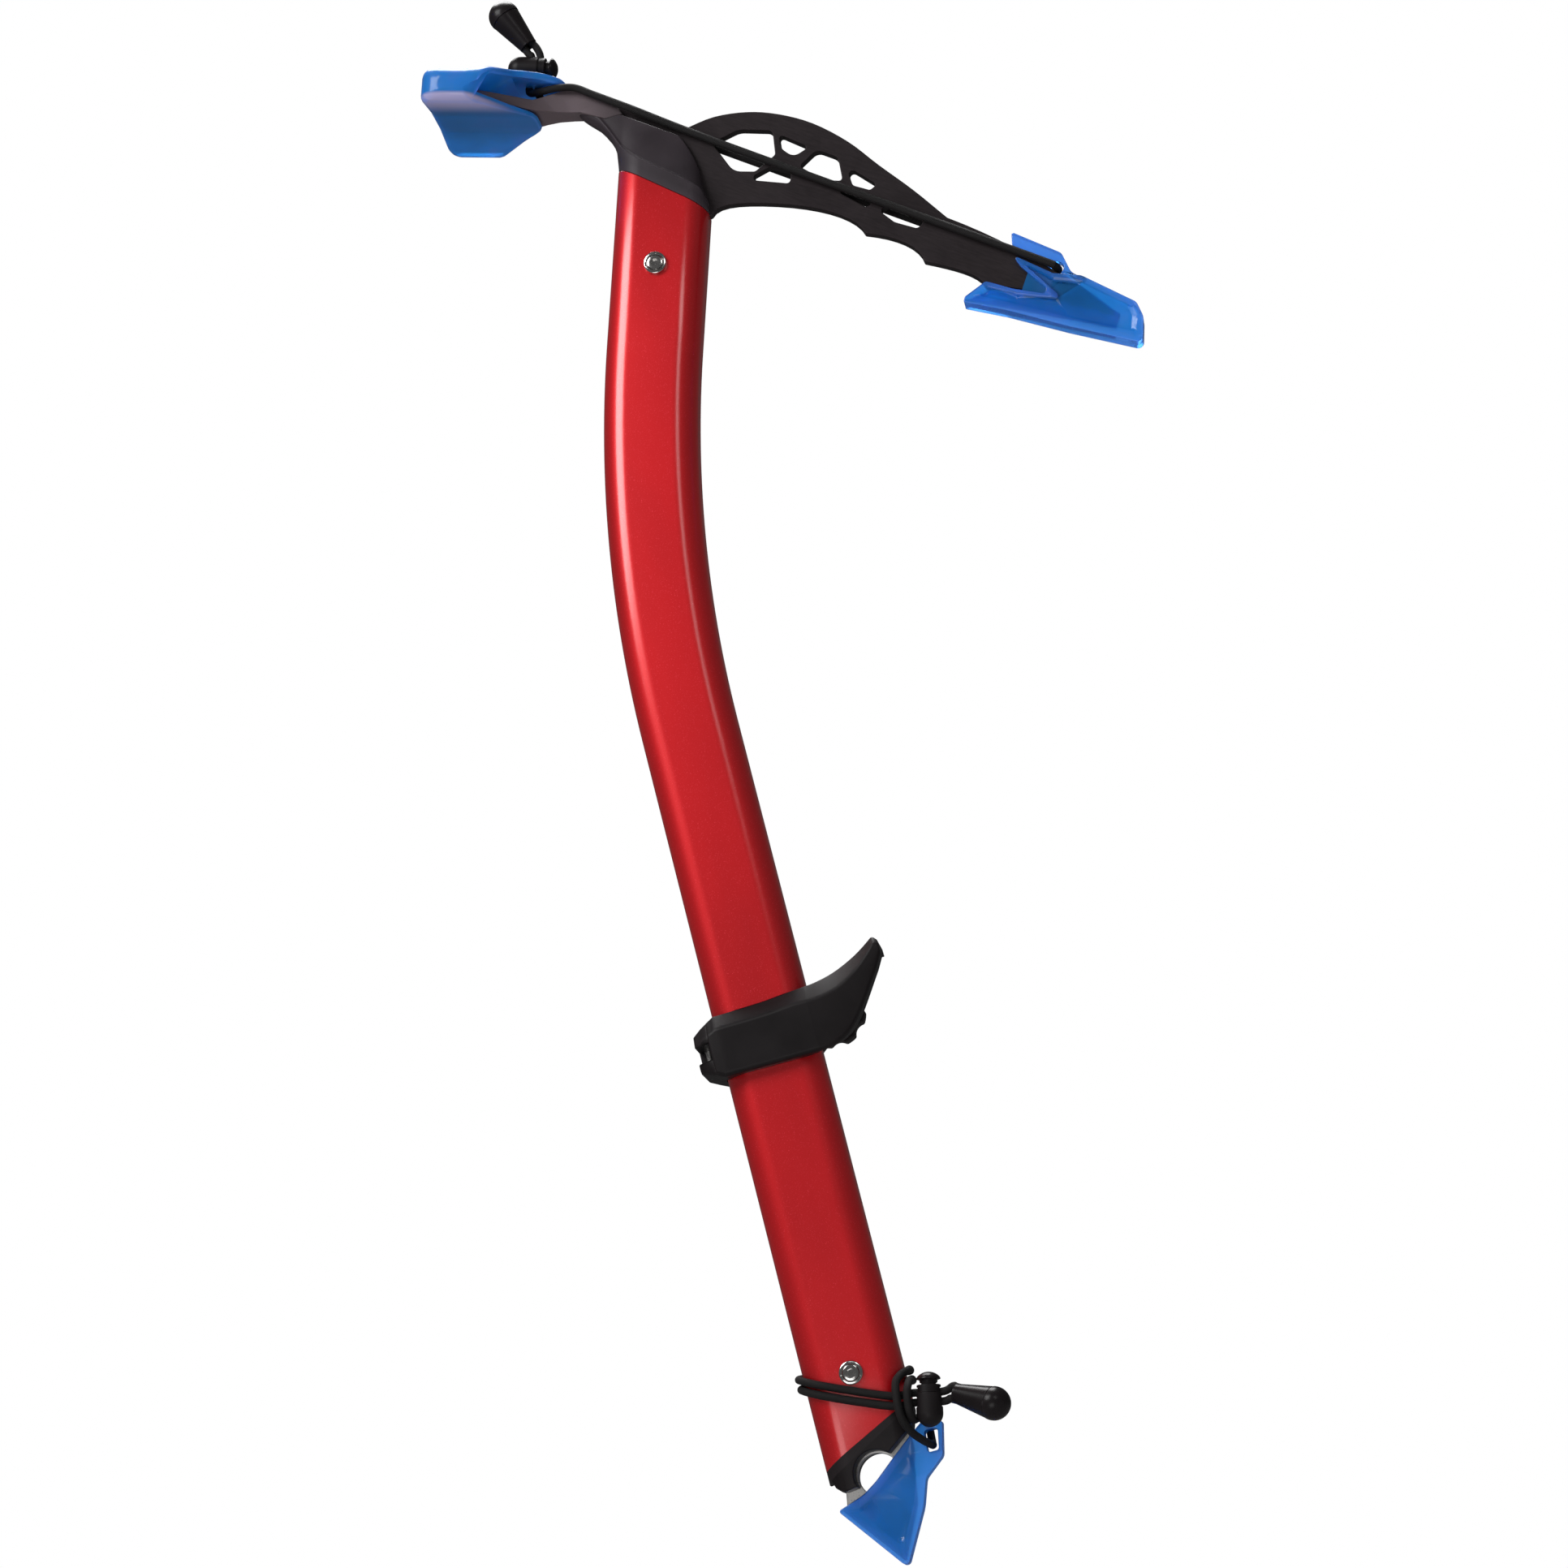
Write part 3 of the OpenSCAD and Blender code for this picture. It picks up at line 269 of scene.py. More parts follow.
def mixed(tree, factor, low, high):
    """Two colours, each a socket or a plain colour, mixed by a factor"""
    made = node(tree, "ShaderNodeMix", data_type="RGBA")
    sockets = [s for s in made.inputs if s.type == "RGBA"]
    for socket, value in zip(sockets, (low, high)):
        put(tree, socket, value if isinstance(value, bpy.types.NodeSocket) else (*value, 1))
    put(tree, next(s for s in made.inputs if s.name == "Factor" and s.type == "VALUE"), factor)
    return next(s for s in made.outputs if s.type == "RGBA")


def product(tree, a, b):
    return node(tree, "ShaderNodeMath", {0: a, 1: b}, operation="MULTIPLY").outputs["Value"]


def larger(tree, a, b):
    return node(tree, "ShaderNodeMath", {0: a, 1: b}, operation="MAXIMUM").outputs["Value"]


def bump(tree, height, strength, distance=0.0001):
    """The surface's normal, raised by a height"""
    inputs = {"Height": height, "Strength": strength, "Distance": distance}
    return node(tree, "ShaderNodeBump", inputs).outputs["Normal"]


def edge_wear_and_highlight(tree, low=0.5, high=0.6):
    """How far the surface sticks out: for wear along the steel's edges, and for painted highlights along the
    edges of the mouldings and covers
    """
    return spread(tree, node(tree, "ShaderNodeNewGeometry").outputs["Pointiness"], 0.0, 1.0, low, high)


def tint(colour, gain):
    return tuple(min(1.0, c * gain) for c in colour)


def anodised_red(tree):
    """Satin anodising, with its fine sparkle painted into the colour as lighter glints"""
    red = colours().red
    fine = noise(tree, place(tree), 3.2, 2.0, 0.6)
    cloud = noise(tree, place(tree, (0.02, 0.02, 0.006)), 1.4)
    base = ramp(tree, cloud, (0.25, tint(red, 0.84)), (0.75, tint(red, 1.08)))
    # Painted glints: lighter pinkish specks that stand in for the sparkle of the satin surface
    glint_mask = spread(tree, fine, 0.0, 1.0, 0.60, 0.76)
    glint_colour = tint((red[0], red[1] * 5 + 0.02, red[2] * 4 + 0.02), 1.3)
    return {
        "Base Color": mixed(tree, glint_mask, base, glint_colour),
        "Roughness": spread(tree, cloud, 0.42, 0.54),
        "Metallic": 0.62,
        "Specular IOR Level": 0.3,
        "Coat Weight": 1.0,
        "Coat IOR": 1.7,
        "Coat Roughness": 0.2,
        "Normal": bump(tree, fine, 0.10),
    }


def dark_steel(tree):
    """Blackened steel with a lengthways grain, rubbed along its edges, and a painted highlight that pales it
    towards the adze
    """
    steel = colours().steel
    grain = noise(tree, place(tree, (0.12, 1, 1), (0, GRAIN_TURN, 0)), 1.6, 5.0, 0.6)
    patch = noise(tree, place(tree, (0.04, 0.04, 0.04)), 1.3)
    base = ramp(tree, grain, (0.3, tint(steel, 0.75)), (0.7, tint(steel, 1.25)))
    lightened_edges = product(tree, edge_wear_and_highlight(tree, 0.52, 0.60), patch)
    worn = mixed(tree, lightened_edges, base, tint(steel, 4.0))
    # Painted highlight: the stem pales towards the adze, where its face turns to the light
    stem_highlight = spread(tree, axes(tree, place(tree, turn=LEVEL_HEAD))["X"], 0.8, 0.0, *STEM_HIGHLIGHT_SPAN)
    return {
        "Base Color": mixed(tree, stem_highlight, worn, colours().stem_highlight),
        "Roughness": spread(tree, patch, 0.36, 0.52),
        "Metallic": 0.45,
        "Specular IOR Level": 0.20,
        "Normal": bump(tree, grain, 0.10),
    }


def bright_steel(tree, roughness, grain_strength):
    """Bare steel with a fine grain"""
    bright = colours().bright
    grain = noise(tree, place(tree), 1.8, 4.0, 0.6)
    return {
        "Base Color": ramp(tree, grain, (0.3, tint(bright, 0.86)), (0.7, tint(bright, 1.06))),
        "Roughness": spread(tree, grain, roughness * 0.8, roughness * 1.25),
        "Metallic": 1.0,
        "Normal": bump(tree, grain, grain_strength),
    }


def moulding(tree, colour_name, roughness, grain_strength):
    """Moulded plastic: a faint cloudiness, a fine grain and a painted highlight along the edges that catch
    the light
    """
    colour = getattr(colours(), colour_name)
    grain = noise(tree, place(tree), 2.2, 4.0, 0.6)
    patch = noise(tree, place(tree, (0.05, 0.05, 0.05)), 1.5)
    base = ramp(tree, patch, (0.3, tint(colour, 0.82)), (0.7, tint(colour, 1.18)))
    # Painted highlight along the edges
    lightened_edges = product(tree, edge_wear_and_highlight(tree), grain)
    return {
        "Base Color": mixed(tree, lightened_edges, base, tint(colour, 3.0)),
        "Roughness": spread(tree, patch, roughness - 0.05, roughness + 0.07),
        "Specular IOR Level": 0.22,
        "Normal": bump(tree, grain, grain_strength),
    }


def cover_blue(tree, roughness, clearness, vaulted=False):
    """Cloudy translucent plastic with a painted highlight along its edges; the vaulted cover also has a
    painted sheen under its near lip and painted shade across the middle of its underside
    """
    blue = colours().blue
    haze = colours().haze
    cloud = noise(tree, place(tree, (0.05, 0.05, 0.05)), 1.3, 2.0)
    base = ramp(tree, cloud, (0.25, tint(blue, 0.80)), (0.55, blue), (0.8, haze))
    if vaulted:
        # Painted sheen under the near lip, and painted shade in a darker band across the middle of the
        # underside
        where = axes(tree, place(tree, turn=LEVEL_HEAD))
        below = spread(tree, where["Z"], 1.0, 0.0, *LIP_BELOW)
        middle = product(tree, below, spread(tree, where["Y"], 0.8, 0.0, *LIP_SHADE_SPAN))
        near = product(tree, below, spread(tree, where["Y"], 1.0, 0.0, *LIP_SHEEN_SPAN))
        base = mixed(tree, near, mixed(tree, middle, base, tint(blue, 0.45)), colours().lip)
    return {
        # Painted highlight: the colour pales along the edges
        "Base Color": mixed(tree, edge_wear_and_highlight(tree, 0.51, 0.57), base, tint(haze, 1.5)),
        "Roughness": spread(tree, cloud, roughness * 0.85, roughness * 1.15),
        "Transmission Weight": clearness,
        "IOR": 1.30,
        "Coat Weight": 0.5,
        "Coat Roughness": 0.12,
        "Normal": bump(tree, noise(tree, place(tree), 0.6), 0.05),
    }


def woven_cord(tree):
    """Braided sheath: two sets of strands that cross, on the cord's own map"""
    cord = colours().cord
    where = node(tree, "ShaderNodeTexCoord").outputs["UV"]
    rows = []
    for lean in (math.radians(45), math.radians(-45)):
        inputs = {"Vector": where, "Rotation": (0, 0, lean)}
        leaning = node(tree, "ShaderNodeMapping", inputs).outputs["Vector"]
        inputs = {"Vector": leaning, "Scale": 1.0, "Distortion": 0.4}
        rows.append(node(tree, "ShaderNodeTexWave", inputs).outputs["Fac"])
    weave = product(tree, *rows)
    fuzz = noise(tree, place(tree), 4.0)
    return {
        "Base Color": ramp(tree, weave, (0.05, tint(cord, 0.6)), (0.8, tint(cord, 1.9))),
        "Roughness": spread(tree, fuzz, 0.55, 0.75),
        "Specular IOR Level": 0.35,
        "Sheen Weight": 0.02,
        "Normal": bump(tree, weave, 0.6, 0.0002),
    }


# Each finish: what makes it, and how rough, grained or clear it is
FINISHES = {
    "anodised_red": (anodised_red,),
    "dark_steel": (dark_steel,),
    "bolt_steel": (bright_steel, 0.14, 0.02),
    "spike_steel": (bright_steel, 0.30, 0.06),
    "collar_moulding": (moulding, "collar", 0.44, 0.14),
    "black_moulding": (moulding, "black", 0.42, 0.10),
    "gloss_moulding": (moulding, "black", 0.26, 0.04),
    "cover_blue": (cover_blue, 0.34, 0.55),
    "cover_clear": (cover_blue, 0.22, 0.62),
    "cover_vault": (cover_blue, 0.40, 0.40, True),
    "woven_cord": (woven_cord,),
}
MATERIALS = {}


def finish(name):
    """The named finish, made once"""
    if name not in MATERIALS:
        material, tree, shader = new_material(name)
        maker, *values = FINISHES[name]
        put_all(tree, shader, maker(tree, *values))
        MATERIALS[name] = material
    return MATERIALS[name]


def paint(obj, name):
    obj.data.materials.clear()
    obj.data.materials.append(finish(name))


def outward(bm):
    """Turns the faces of a closed mesh outwards"""
    bmesh.ops.recalc_face_normals(bm, faces=bm.faces)


def everything(bm):
    return bm.verts[:] + bm.edges[:] + bm.faces[:]


def edges_of(verts):
    return list(dict.fromkeys(e for v in verts for e in v.link_edges))


def solid_copy(node_name):
    """A merged copy of a CAD node's mesh, its flat faces whole again"""
    bm = bmesh.new()
    bm.from_mesh(NODES[node_name].data)
    bmesh.ops.remove_doubles(bm, verts=bm.verts, dist=3e-6)
    bmesh.ops.dissolve_limit(bm, angle_limit=math.radians(0.5), verts=bm.verts, edges=bm.edges)
    return bm


def round_edges(bm, offset, segments, angle):
    """Rounds the edges that are sharper than the angle"""
    sharp = [e for e in bm.edges if len(e.link_faces) == 2 and e.calc_face_angle(0) > math.radians(angle)]
    bmesh.ops.bevel(bm, geom=sharp, offset=offset, offset_type="OFFSET", segments=segments, profile=0.5,
                    affect="EDGES", clamp_overlap=False, material=-1)


def drawn(bm, places, closed=True):
    """Points joined in a row by edges, and those edges"""
    row = [bm.verts.new(p) for p in places]
    ahead = row[1:] + row[:1] if closed else row[1:]
    return row, [bm.edges.new(ends) for ends in zip(row, ahead)]


def extruded(bm, edges):
    """Extrudes a ring of edges: the new points, and the edges of the new rim"""
    made = bmesh.ops.extrude_edge_only(bm, edges=edges)["geom"]
    verts = [g for g in made if isinstance(g, bmesh.types.BMVert)]
    rim = [g for g in made if isinstance(g, bmesh.types.BMEdge) and g.is_boundary]
    return verts, rim


def ahead_of(row, new):
    """The new point that each point of a row was extruded to"""
    return [next(e.other_vert(v) for e in v.link_edges if e.other_vert(v) in new) for v in row]


def loft(bm, rows, closed=True):
    """Extrudes the first row of points from row to row, and closes both ends of a ring"""
    row, edges = drawn(bm, rows[0], closed)
    first = edges
    for places in rows[1:]:
        made = bmesh.ops.extrude_edge_only(bm, edges=edges)["geom"]
        row = ahead_of(row, {v for v in made if isinstance(v, bmesh.types.BMVert)})
        found = [bm.edges.get(ends) for ends in zip(row, row[1:] + row[:1])]
        edges = [e for e in found if e]
        for vert, spot in zip(row, places):
            vert.co = spot
    if closed:
        for rim in (first, edges):
            bmesh.ops.contextual_create(bm, geom=rim)


def cut_away(bm, geom, where, out, capped):
    """Cuts away what lies beyond a plane, and caps the cut if it is asked to"""
    made = bmesh.ops.bisect_plane(bm, geom=geom, plane_co=where, plane_no=out, clear_outer=True)
    if capped:
        edges = [e for e in made["geom_cut"] if isinstance(e, bmesh.types.BMEdge)]
        bmesh.ops.contextual_create(bm, geom=edges)


def turned(profile, steps):
    """A piece turned on a lathe from a profile of radius and height, in millimetres"""
    bm = bmesh.new()
    verts, edges = drawn(bm, [(r / 1000, 0, z / 1000) for r, z in profile], closed=False)
    bmesh.ops.spin(bm, geom=verts + edges, cent=(0, 0, 0), axis=(0, 0, 1), angle=math.tau, steps=steps,
                   use_merge=True)
    bmesh.ops.remove_doubles(bm, verts=bm.verts, dist=1e-7)
    outward(bm)
    return bm


def arc(x, z, r, start, end, steps):
    """Points of an arc, its angles in degrees"""
    angles = [math.radians(start + (end - start) * k / steps) for k in range(steps + 1)]
    return [(x + r * math.cos(a), z + r * math.sin(a)) for a in angles]


def along(points, x):
    """The value at x of a line through points of x and value"""
    for (a, low), (b, high) in zip(points, points[1:]):
        if x <= b:
            t = max(0.0, (x - a) / (b - a))
            return low + t * (high - low)
    return points[-1][1]


def joined(parts):
    """Several meshes put at their places in one mesh"""
    whole = bmesh.new()
    for bm, where in parts:
        mesh = bpy.data.meshes.new("part")
        bm.transform(where)
        bm.to_mesh(mesh)
        bm.free()
        whole.from_mesh(mesh)
        bpy.data.meshes.remove(mesh)
    return whole


def as_object(name, bm, look):
    """The mesh as an object of that finish, smooth except at its sharp edges"""
    mesh = bpy.data.meshes.new(name)
    bm.to_mesh(mesh)
    bm.free()
    mesh.shade_smooth()
    mesh.set_sharp_from_angle(angle=SHARP)
    obj = bpy.data.objects.new(name, mesh)
    bpy.context.scene.collection.objects.link(obj)
    paint(obj, look)
    return obj


def settle(obj, body, node_name):
    """Ties the piece to its body and the node it stands for"""
    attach(obj, body)
    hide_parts(node_name)


def flat_faced(name, bm, look, body, node_name):
    """A piece whose broad faces stay flat between its rounded edges"""
    obj = as_object(name, bm, look)
    modifier = obj.modifiers.new("normals", "WEIGHTED_NORMAL")
    modifier.keep_sharp = True
    modifier.weight = 80
    settle(obj, body, node_name)


def rounded_copy(name, node_name, look, body, edge, segments=2, angle=40.0):
    """A node's own shape with its edges rounded"""
    bm = solid_copy(node_name)
    round_edges(bm, edge, segments, angle)
    flat_faced(name, bm, look, body, node_name)


def stretched(name, bm, look, node_name):
    """A piece between two bodies, its place baked into its mesh, with the node it stands for hidden"""
    obj = as_object(name, bm, look)
    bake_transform(obj)
    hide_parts(node_name)


# Stage

class AXE_OT_stage(bpy.types.Operator):
    """Camera, lamps, floor and surroundings"""
    bl_idname = "axe.stage"
    bl_label = "Stage"

    # Name, place, size and power of each lamp, and how bright the floor and the mirrored studio are
    lamps = (("key", (-0.56, -0.76, 0.95), 0.6, 8.2),
             ("side", (0.5, -1.1, 0.75), 0.3, 0.9),
             ("top", (0.05, 0.45, 1.6), 0.9, 22.0),
             ("low", (-0.25, -1.0, -0.25), 0.5, 1.6))
    floor_reach = 1.5
    floor_tone = 0.62
    floor_glow = 0.22
    floor_mirrored = 0.15
    studio_front = 0.3
    studio_back = 0.06
    studio_span = (-0.55, 0.75)

    def execute(self, context):
        settings = stage_settings()
        scene = context.scene
        scene.view_settings.view_transform = "Standard"
        self.camera(scene, settings)
        for name, spot, size, power in self.lamps:
            light = bpy.data.lights.new(name, "AREA")
            light.size = size
            light.energy = power
            lamp = bpy.data.objects.new(name, light)
            lamp.location = spot
            aim = Vector(settings.target) - Vector(spot)
            lamp.rotation_euler = aim.to_track_quat("-Z", "Y").to_euler()
            scene.collection.objects.link(lamp)
        self.surroundings(scene, settings)
        self.floor(scene, settings)
        return {"FINISHED"}

    def camera(self, scene, settings):
        """Looks up at the axe, and leans so that the grip leans in the view"""
        level = math.cos(settings.pitch)
        back = Vector((math.sin(settings.yaw) * level, -math.cos(settings.yaw) * level,
                       math.sin(settings.pitch)))
        right = Vector((0, 0, 1)).cross(back).normalized()
        up = back.cross(right)
        lean = settings.lean
        side = right * math.cos(lean) - up * math.sin(lean)
        top = right * math.sin(lean) + up * math.cos(lean)
        camera = bpy.data.objects.new("camera", bpy.data.cameras.new("camera"))
        scene.collection.objects.link(camera)
        turn = Matrix((side, top, back)).transposed().to_4x4()
        camera.matrix_world = Matrix.Translation(Vector(settings.target) + back * settings.distance) @ turn
        camera.data.angle = 2 * math.atan(settings.frame_width / 2 / settings.distance)
        camera.data.clip_end = 50
        scene.camera = camera

    def surroundings(self, scene, settings):
        """White behind the axe and through its covers, and a dim studio for mirrored rays"""
        world = bpy.data.worlds.new("surroundings")
        world.use_nodes = True
        scene.world = world
        tree = world.node_tree
        rays = node(tree, "ShaderNodeLightPath").outputs
        way = axes(tree, node(tree, "ShaderNodeTexCoord").outputs["Generated"])
        front = settings.surround * self.studio_front
        studio = spread(tree, way["Y"], front, self.studio_back, *self.studio_span)
        mirrored = product(tree, rays["Is Glossy Ray"], studio)
        others = spread(tree, rays["Is Glossy Ray"], settings.surround, 0.0)
        seen = larger(tree, rays["Is Camera Ray"], rays["Is Transmission Ray"])
        strength = larger(tree, larger(tree, mirrored, others), seen)
        put_all(tree, tree.nodes["Background"], {"Color": (1, 1, 1, 1), "Strength": strength})

    def floor(self, scene, settings):
        """A pale floor that is dim to mirrored rays, as the studio is"""
        bm = bmesh.new()
        bmesh.ops.create_grid(bm, x_segments=1, y_segments=1, size=self.floor_reach)
        bmesh.ops.translate(bm, verts=bm.verts, vec=(0, 0, settings.floor_drop))
        mesh = bpy.data.meshes.new("floor")
        bm.to_mesh(mesh)
        bm.free()
        floor = bpy.data.objects.new("floor", mesh)
        scene.collection.objects.link(floor)
        material, tree, shader = new_material("floor")
        put_all(tree, shader, {
            "Base Color": (self.floor_tone, self.floor_tone, self.floor_tone, 1),
            "Roughness": 0.8,
            "Emission Color": (1, 1, 1, 1),
            "Emission Strength": self.floor_glow,
        })
        rays = node(tree, "ShaderNodeLightPath").outputs
        dim = node(tree, "ShaderNodeEmission", {"Strength": self.floor_mirrored}).outputs["Emission"]
        inputs = {"Fac": rays["Is Glossy Ray"], 1: shader.outputs["BSDF"], 2: dim}
        shown = node(tree, "ShaderNodeMixShader", inputs).outputs["Shader"]
        put(tree, tree.nodes["Material Output"].inputs["Surface"], shown)
        floor.data.materials.append(material)


# Cords

def spline(points, steps):
    """A smooth run through the points"""
    last = len(points) - 1
    run = []
    for i in range(last):
        a = points[max(i - 1, 0)]
        b = points[i]
        c = points[i + 1]
        d = points[min(i + 2, last)]
        for k in range(steps):
            t = k / steps
            run.append(0.5 * (2 * b + (c - a) * t + (2 * a - 5 * b + 4 * c - d) * t * t
                              + (3 * b - a - 3 * c + d) * t * t * t))
    run.append(points[last])
    return run


def stations(path):
    """A frame at each point of the path, carried along it without twist"""
    frames = []
    side = None
    last = len(path) - 1
    for i, point in enumerate(path):
        way = (path[min(i + 1, last)] - path[max(i - 1, 0)]).normalized()
        if side is None:
            side = way.orthogonal()
        side = (side - side.dot(way) * way).normalized()
        turn = Matrix((side, way.cross(side), way)).transposed().to_4x4()
        frames.append(Matrix.Translation(point) @ turn)
    return frames


def braided_tube(path):
    """A cord as a ring that is extruded from station to station, with a map for its braid"""
    bm = bmesh.new()
    sides = sizes().cord_sides
    frames = stations(path)
    ring = bmesh.ops.create_circle(bm, cap_ends=True, segments=sides, radius=CORD_R / 1000)["verts"]
    bmesh.ops.transform(bm, matrix=frames[0], verts=ring)
    edges = edges_of(ring)
    run = 0.0
    length = {v: run for v in ring}
    around = {v: k / sides for k, v in enumerate(ring)}
    for before, after in zip(frames, frames[1:]):
        verts, edges = extruded(bm, edges)
        run += (after.translation - before.translation).length
        ahead = ahead_of(ring, set(verts))
        for old, new in zip(ring, ahead):
            around[new] = around[old]
            length[new] = run
        ring = ahead
        bmesh.ops.transform(bm, matrix=after @ before.inverted(), verts=verts)
    bmesh.ops.holes_fill(bm, edges=edges, sides=0)
    outward(bm)
    uv = bm.loops.layers.uv.new("braid")
    for face in bm.faces:
        turns = [around[loop.vert] for loop in face.loops]
        wraps = max(turns) - min(turns) > 0.5
        for loop, turn in zip(face.loops, turns):
            turn = turn + 1 if wraps and turn < 0.5 else turn
            loop[uv].uv = (turn * BRAID_STRANDS, length[loop.vert] * 1000 / BRAID_PITCH)
    return bm


def head_strand(s):
    """One strand of the head's elastic, from the cord end to the pick, in the head's frame"""
    out = Vector((math.sin(HEAD_BULB_TILT), 0, math.cos(HEAD_BULB_TILT)))
    side = Vector((math.cos(HEAD_BULB_TILT), 0, -math.sin(HEAD_BULB_TILT)))
    points = [HEAD_BULB + s * PAIR * 1.1 * side - back * out for back in (-2.4, 0.2, 2.6)]
    heights = (HEAD_TOGGLE.z + 4.6, HEAD_TOGGLE.z, 39.5)
    points += [Vector((HEAD_TOGGLE.x + s * PAIR, 0, z)) for z in heights]
    points += [Vector((-48.0 + s * 1.3, s * 1.5, 36.4)), Vector((-44.6, s * 5.6, 35.5)),
               Vector((-39, s * (STRAND_STEM + 0.3), 36.3))]
    run = ((0, 0), (0.04, 0), (0.12, 0.12), (0.2, 0.62), (0.28, 0.95), (0.36, 1), (0.5, 1), (0.625, 1),
           (0.75, 1), (0.87, 1))
    for t, gathered in run:
        p = CORD_FROM.lerp(CORD_TO, t)
        points.append(Vector((p.x, s * (STRAND_STEM + gathered * (STRAND_PICK - STRAND_STEM)), p.z)))
    return points


def head_route():
    """The whole elastic: out to the pick's cover, round its hook and back"""
    bight = []
    for turn in range(-90, 91, 30):
        a = math.radians(turn)
        p = CORD_TO + STRAND_PICK * math.cos(a) * CORD_DIR
        bight.append(Vector((p.x, STRAND_PICK * math.sin(a), p.z)))
    return head_strand(-1) + bight + head_strand(1)[::-1]


def hug(turn, z):
    """A point of the cord where it lies on the shaft's rounded corners"""
    a = math.radians(turn)
    r = FRONT_R if math.cos(a) > 0 else REAR_R
    x = HALF_W - FRONT_R if math.cos(a) > 0 else REAR_R - HALF_W
    y = HALF_D - r if math.sin(a) > 0 else r - HALF_D
    out = r + 0.35 + CORD_R
    return Vector((x + out * math.cos(a), y + out * math.sin(a), z))


def spike_strand(s):
    """One strand of the spike's elastic, from the cord end round the shaft to its front corner"""
    way = Vector((math.cos(TOGGLE_SLOPE), 0, math.sin(TOGGLE_SLOPE)))
    up = Vector((-math.sin(TOGGLE_SLOPE), 0, math.cos(TOGGLE_SLOPE)))
    out = spike_bulb_dir()
    bulb_up = (up - up.dot(out) * out).normalized()
    points = [SPIKE_BULB - back * out + s * PAIR * 1.3 * bulb_up for back in (-2.4, 0.4, 1.6)]
    points += [SPIKE_TOGGLE + reach * way + s * PAIR * up for reach in (4.4, -4.6)]
    points += [Vector((HALF_W - FRONT_R + 3, NEAR_Y, 20.2 + s * PAIR * 1.1)),
               Vector((0, NEAR_Y, 24.7 + s * PAIR * 1.12))]
    rear = ((262, 28.6, 1.12), (235, 31, 1.12), (208, 33.1, 1.1), (180, 34.6, 1.05), (152, 35.2, 1),
            (125, 35.2, 1), (98, 34.8, 1.02))
    points += [hug(turn, z + s * PAIR * wide) for turn, z, wide in rear]
    points += [Vector((x, FAR_Y, z + s * PAIR * 1.05)) for x, z in ((-5, 33.9), (5, 31.9))]
    front = ((82, 30.5), (61, 29.7), (40, 29.1), (19, 28.6), (0, 28.2))
    points += [hug(turn, z + s * PAIR * 1.05) for turn, z in front]
    return points


def spike_bulb_dir():
    """The way that the spike's bulb points"""
    level = math.cos(SPIKE_BULB_TILT)
    return Vector((level * math.cos(SPIKE_BULB_SWING), level * math.sin(SPIKE_BULB_SWING),
                   math.sin(SPIKE_BULB_TILT)))


def spike_route():
    """The whole elastic: over the front edge, through the guard's loop and back up"""
    over = [hug(-22, 29.2), hug(-44, 28.2)]
    over += [Vector((HALF_W + x, y - HALF_D, z)) for x, y, z in
             ((-3, -2.9, 25.6), (-3.7, -4.9, 20.6), (-3.9, -4.5, 14.4), (-2.2, -1.4, 9.6))]
    over += [Vector((HALF_W + 0.5, -7.4, 6.4)), Vector((HALF_W + 2.1, -3.7, 5.1)),
             Vector((HALF_W + 2.65, 0, 4.8))]
    back = [Vector((HALF_W + x, y + SPIKE_GUARD_Y, z)) for x, y, z in
            ((2.4, 0.7, 5.7), (2.5, 2.2, 9), (2.8, 1.8, 13.4))]
    back += [Vector((HALF_W + 2.4, 0, 15.2)), Vector((HALF_W + 1.2, -6, 14))]
    back += [Vector((HALF_W + x, y - HALF_D, z)) for x, y, z in
             ((-0.5, -1.1, 13), (-0.8, -4.2, 15.2), (-0.5, -5, 19), (0.3, -4.6, 22.6), (1.1, -0.6, 25.2))]
    back.append(hug(-18, 26.2))
    return spike_strand(1) + over + back + spike_strand(-1)[::-1]


class AXE_OT_cords(bpy.types.Operator):
    """The two elastics: the head's in two runs, one for each guard, and the spike's in one"""
    bl_idname = "axe.cords"
    bl_label = "Elastics"

    def execute(self, context):
        steps = sizes().cord_steps
        path = [HEAD @ (p / 1000) for p in spline(head_route(), steps)]
        inverse = HEAD.inverted()
        beyond = [i for i, p in enumerate(path) if (inverse @ p).x > CORD_PARTS / 1000]
        first = beyond[0]
        last = beyond[-1]
        runs = joined([(braided_tube(run), Matrix()) for run in (path[:first + 1], path[last:])])
        stretched("head_elastic_rear", runs, "woven_cord",
                  "head_elastic")
        stretched("head_elastic_front", braided_tube(path[first:last + 1]), "woven_cord",
                  "head_elastic")
        path = [p / 1000 for p in spline(spike_route(), steps)]
        stretched("spike_elastic_run", braided_tube(path), "woven_cord",
                  "spike_elastic")
        return {"FINISHED"}


# Shaft

def shaft_section(steps=16):
    """Points round the shaft's section, in millimetres"""
    points = []
    corners = ((0, FRONT_R, 1, 1), (90, REAR_R, -1, 1), (180, REAR_R, -1, -1), (270, FRONT_R, 1, -1))
    for start, r, x, y in corners:
        points += arc(x * (HALF_W - r), y * (HALF_D - r), r, start, start + 90, steps)
    return points


def shaft_depth(x, gap=0.0):
    """Half of the shaft's depth at x, with a gap all round it"""
    r = FRONT_R if x > 0 else REAR_R
    reach = max(0.0, abs(x) - (HALF_W - r))
    r += gap
    return HALF_D + gap - r + math.sqrt(max(0.0, r * r - reach * reach))


def foot_up(lean):
    return Vector((-math.sin(lean), 0, math.cos(lean)))


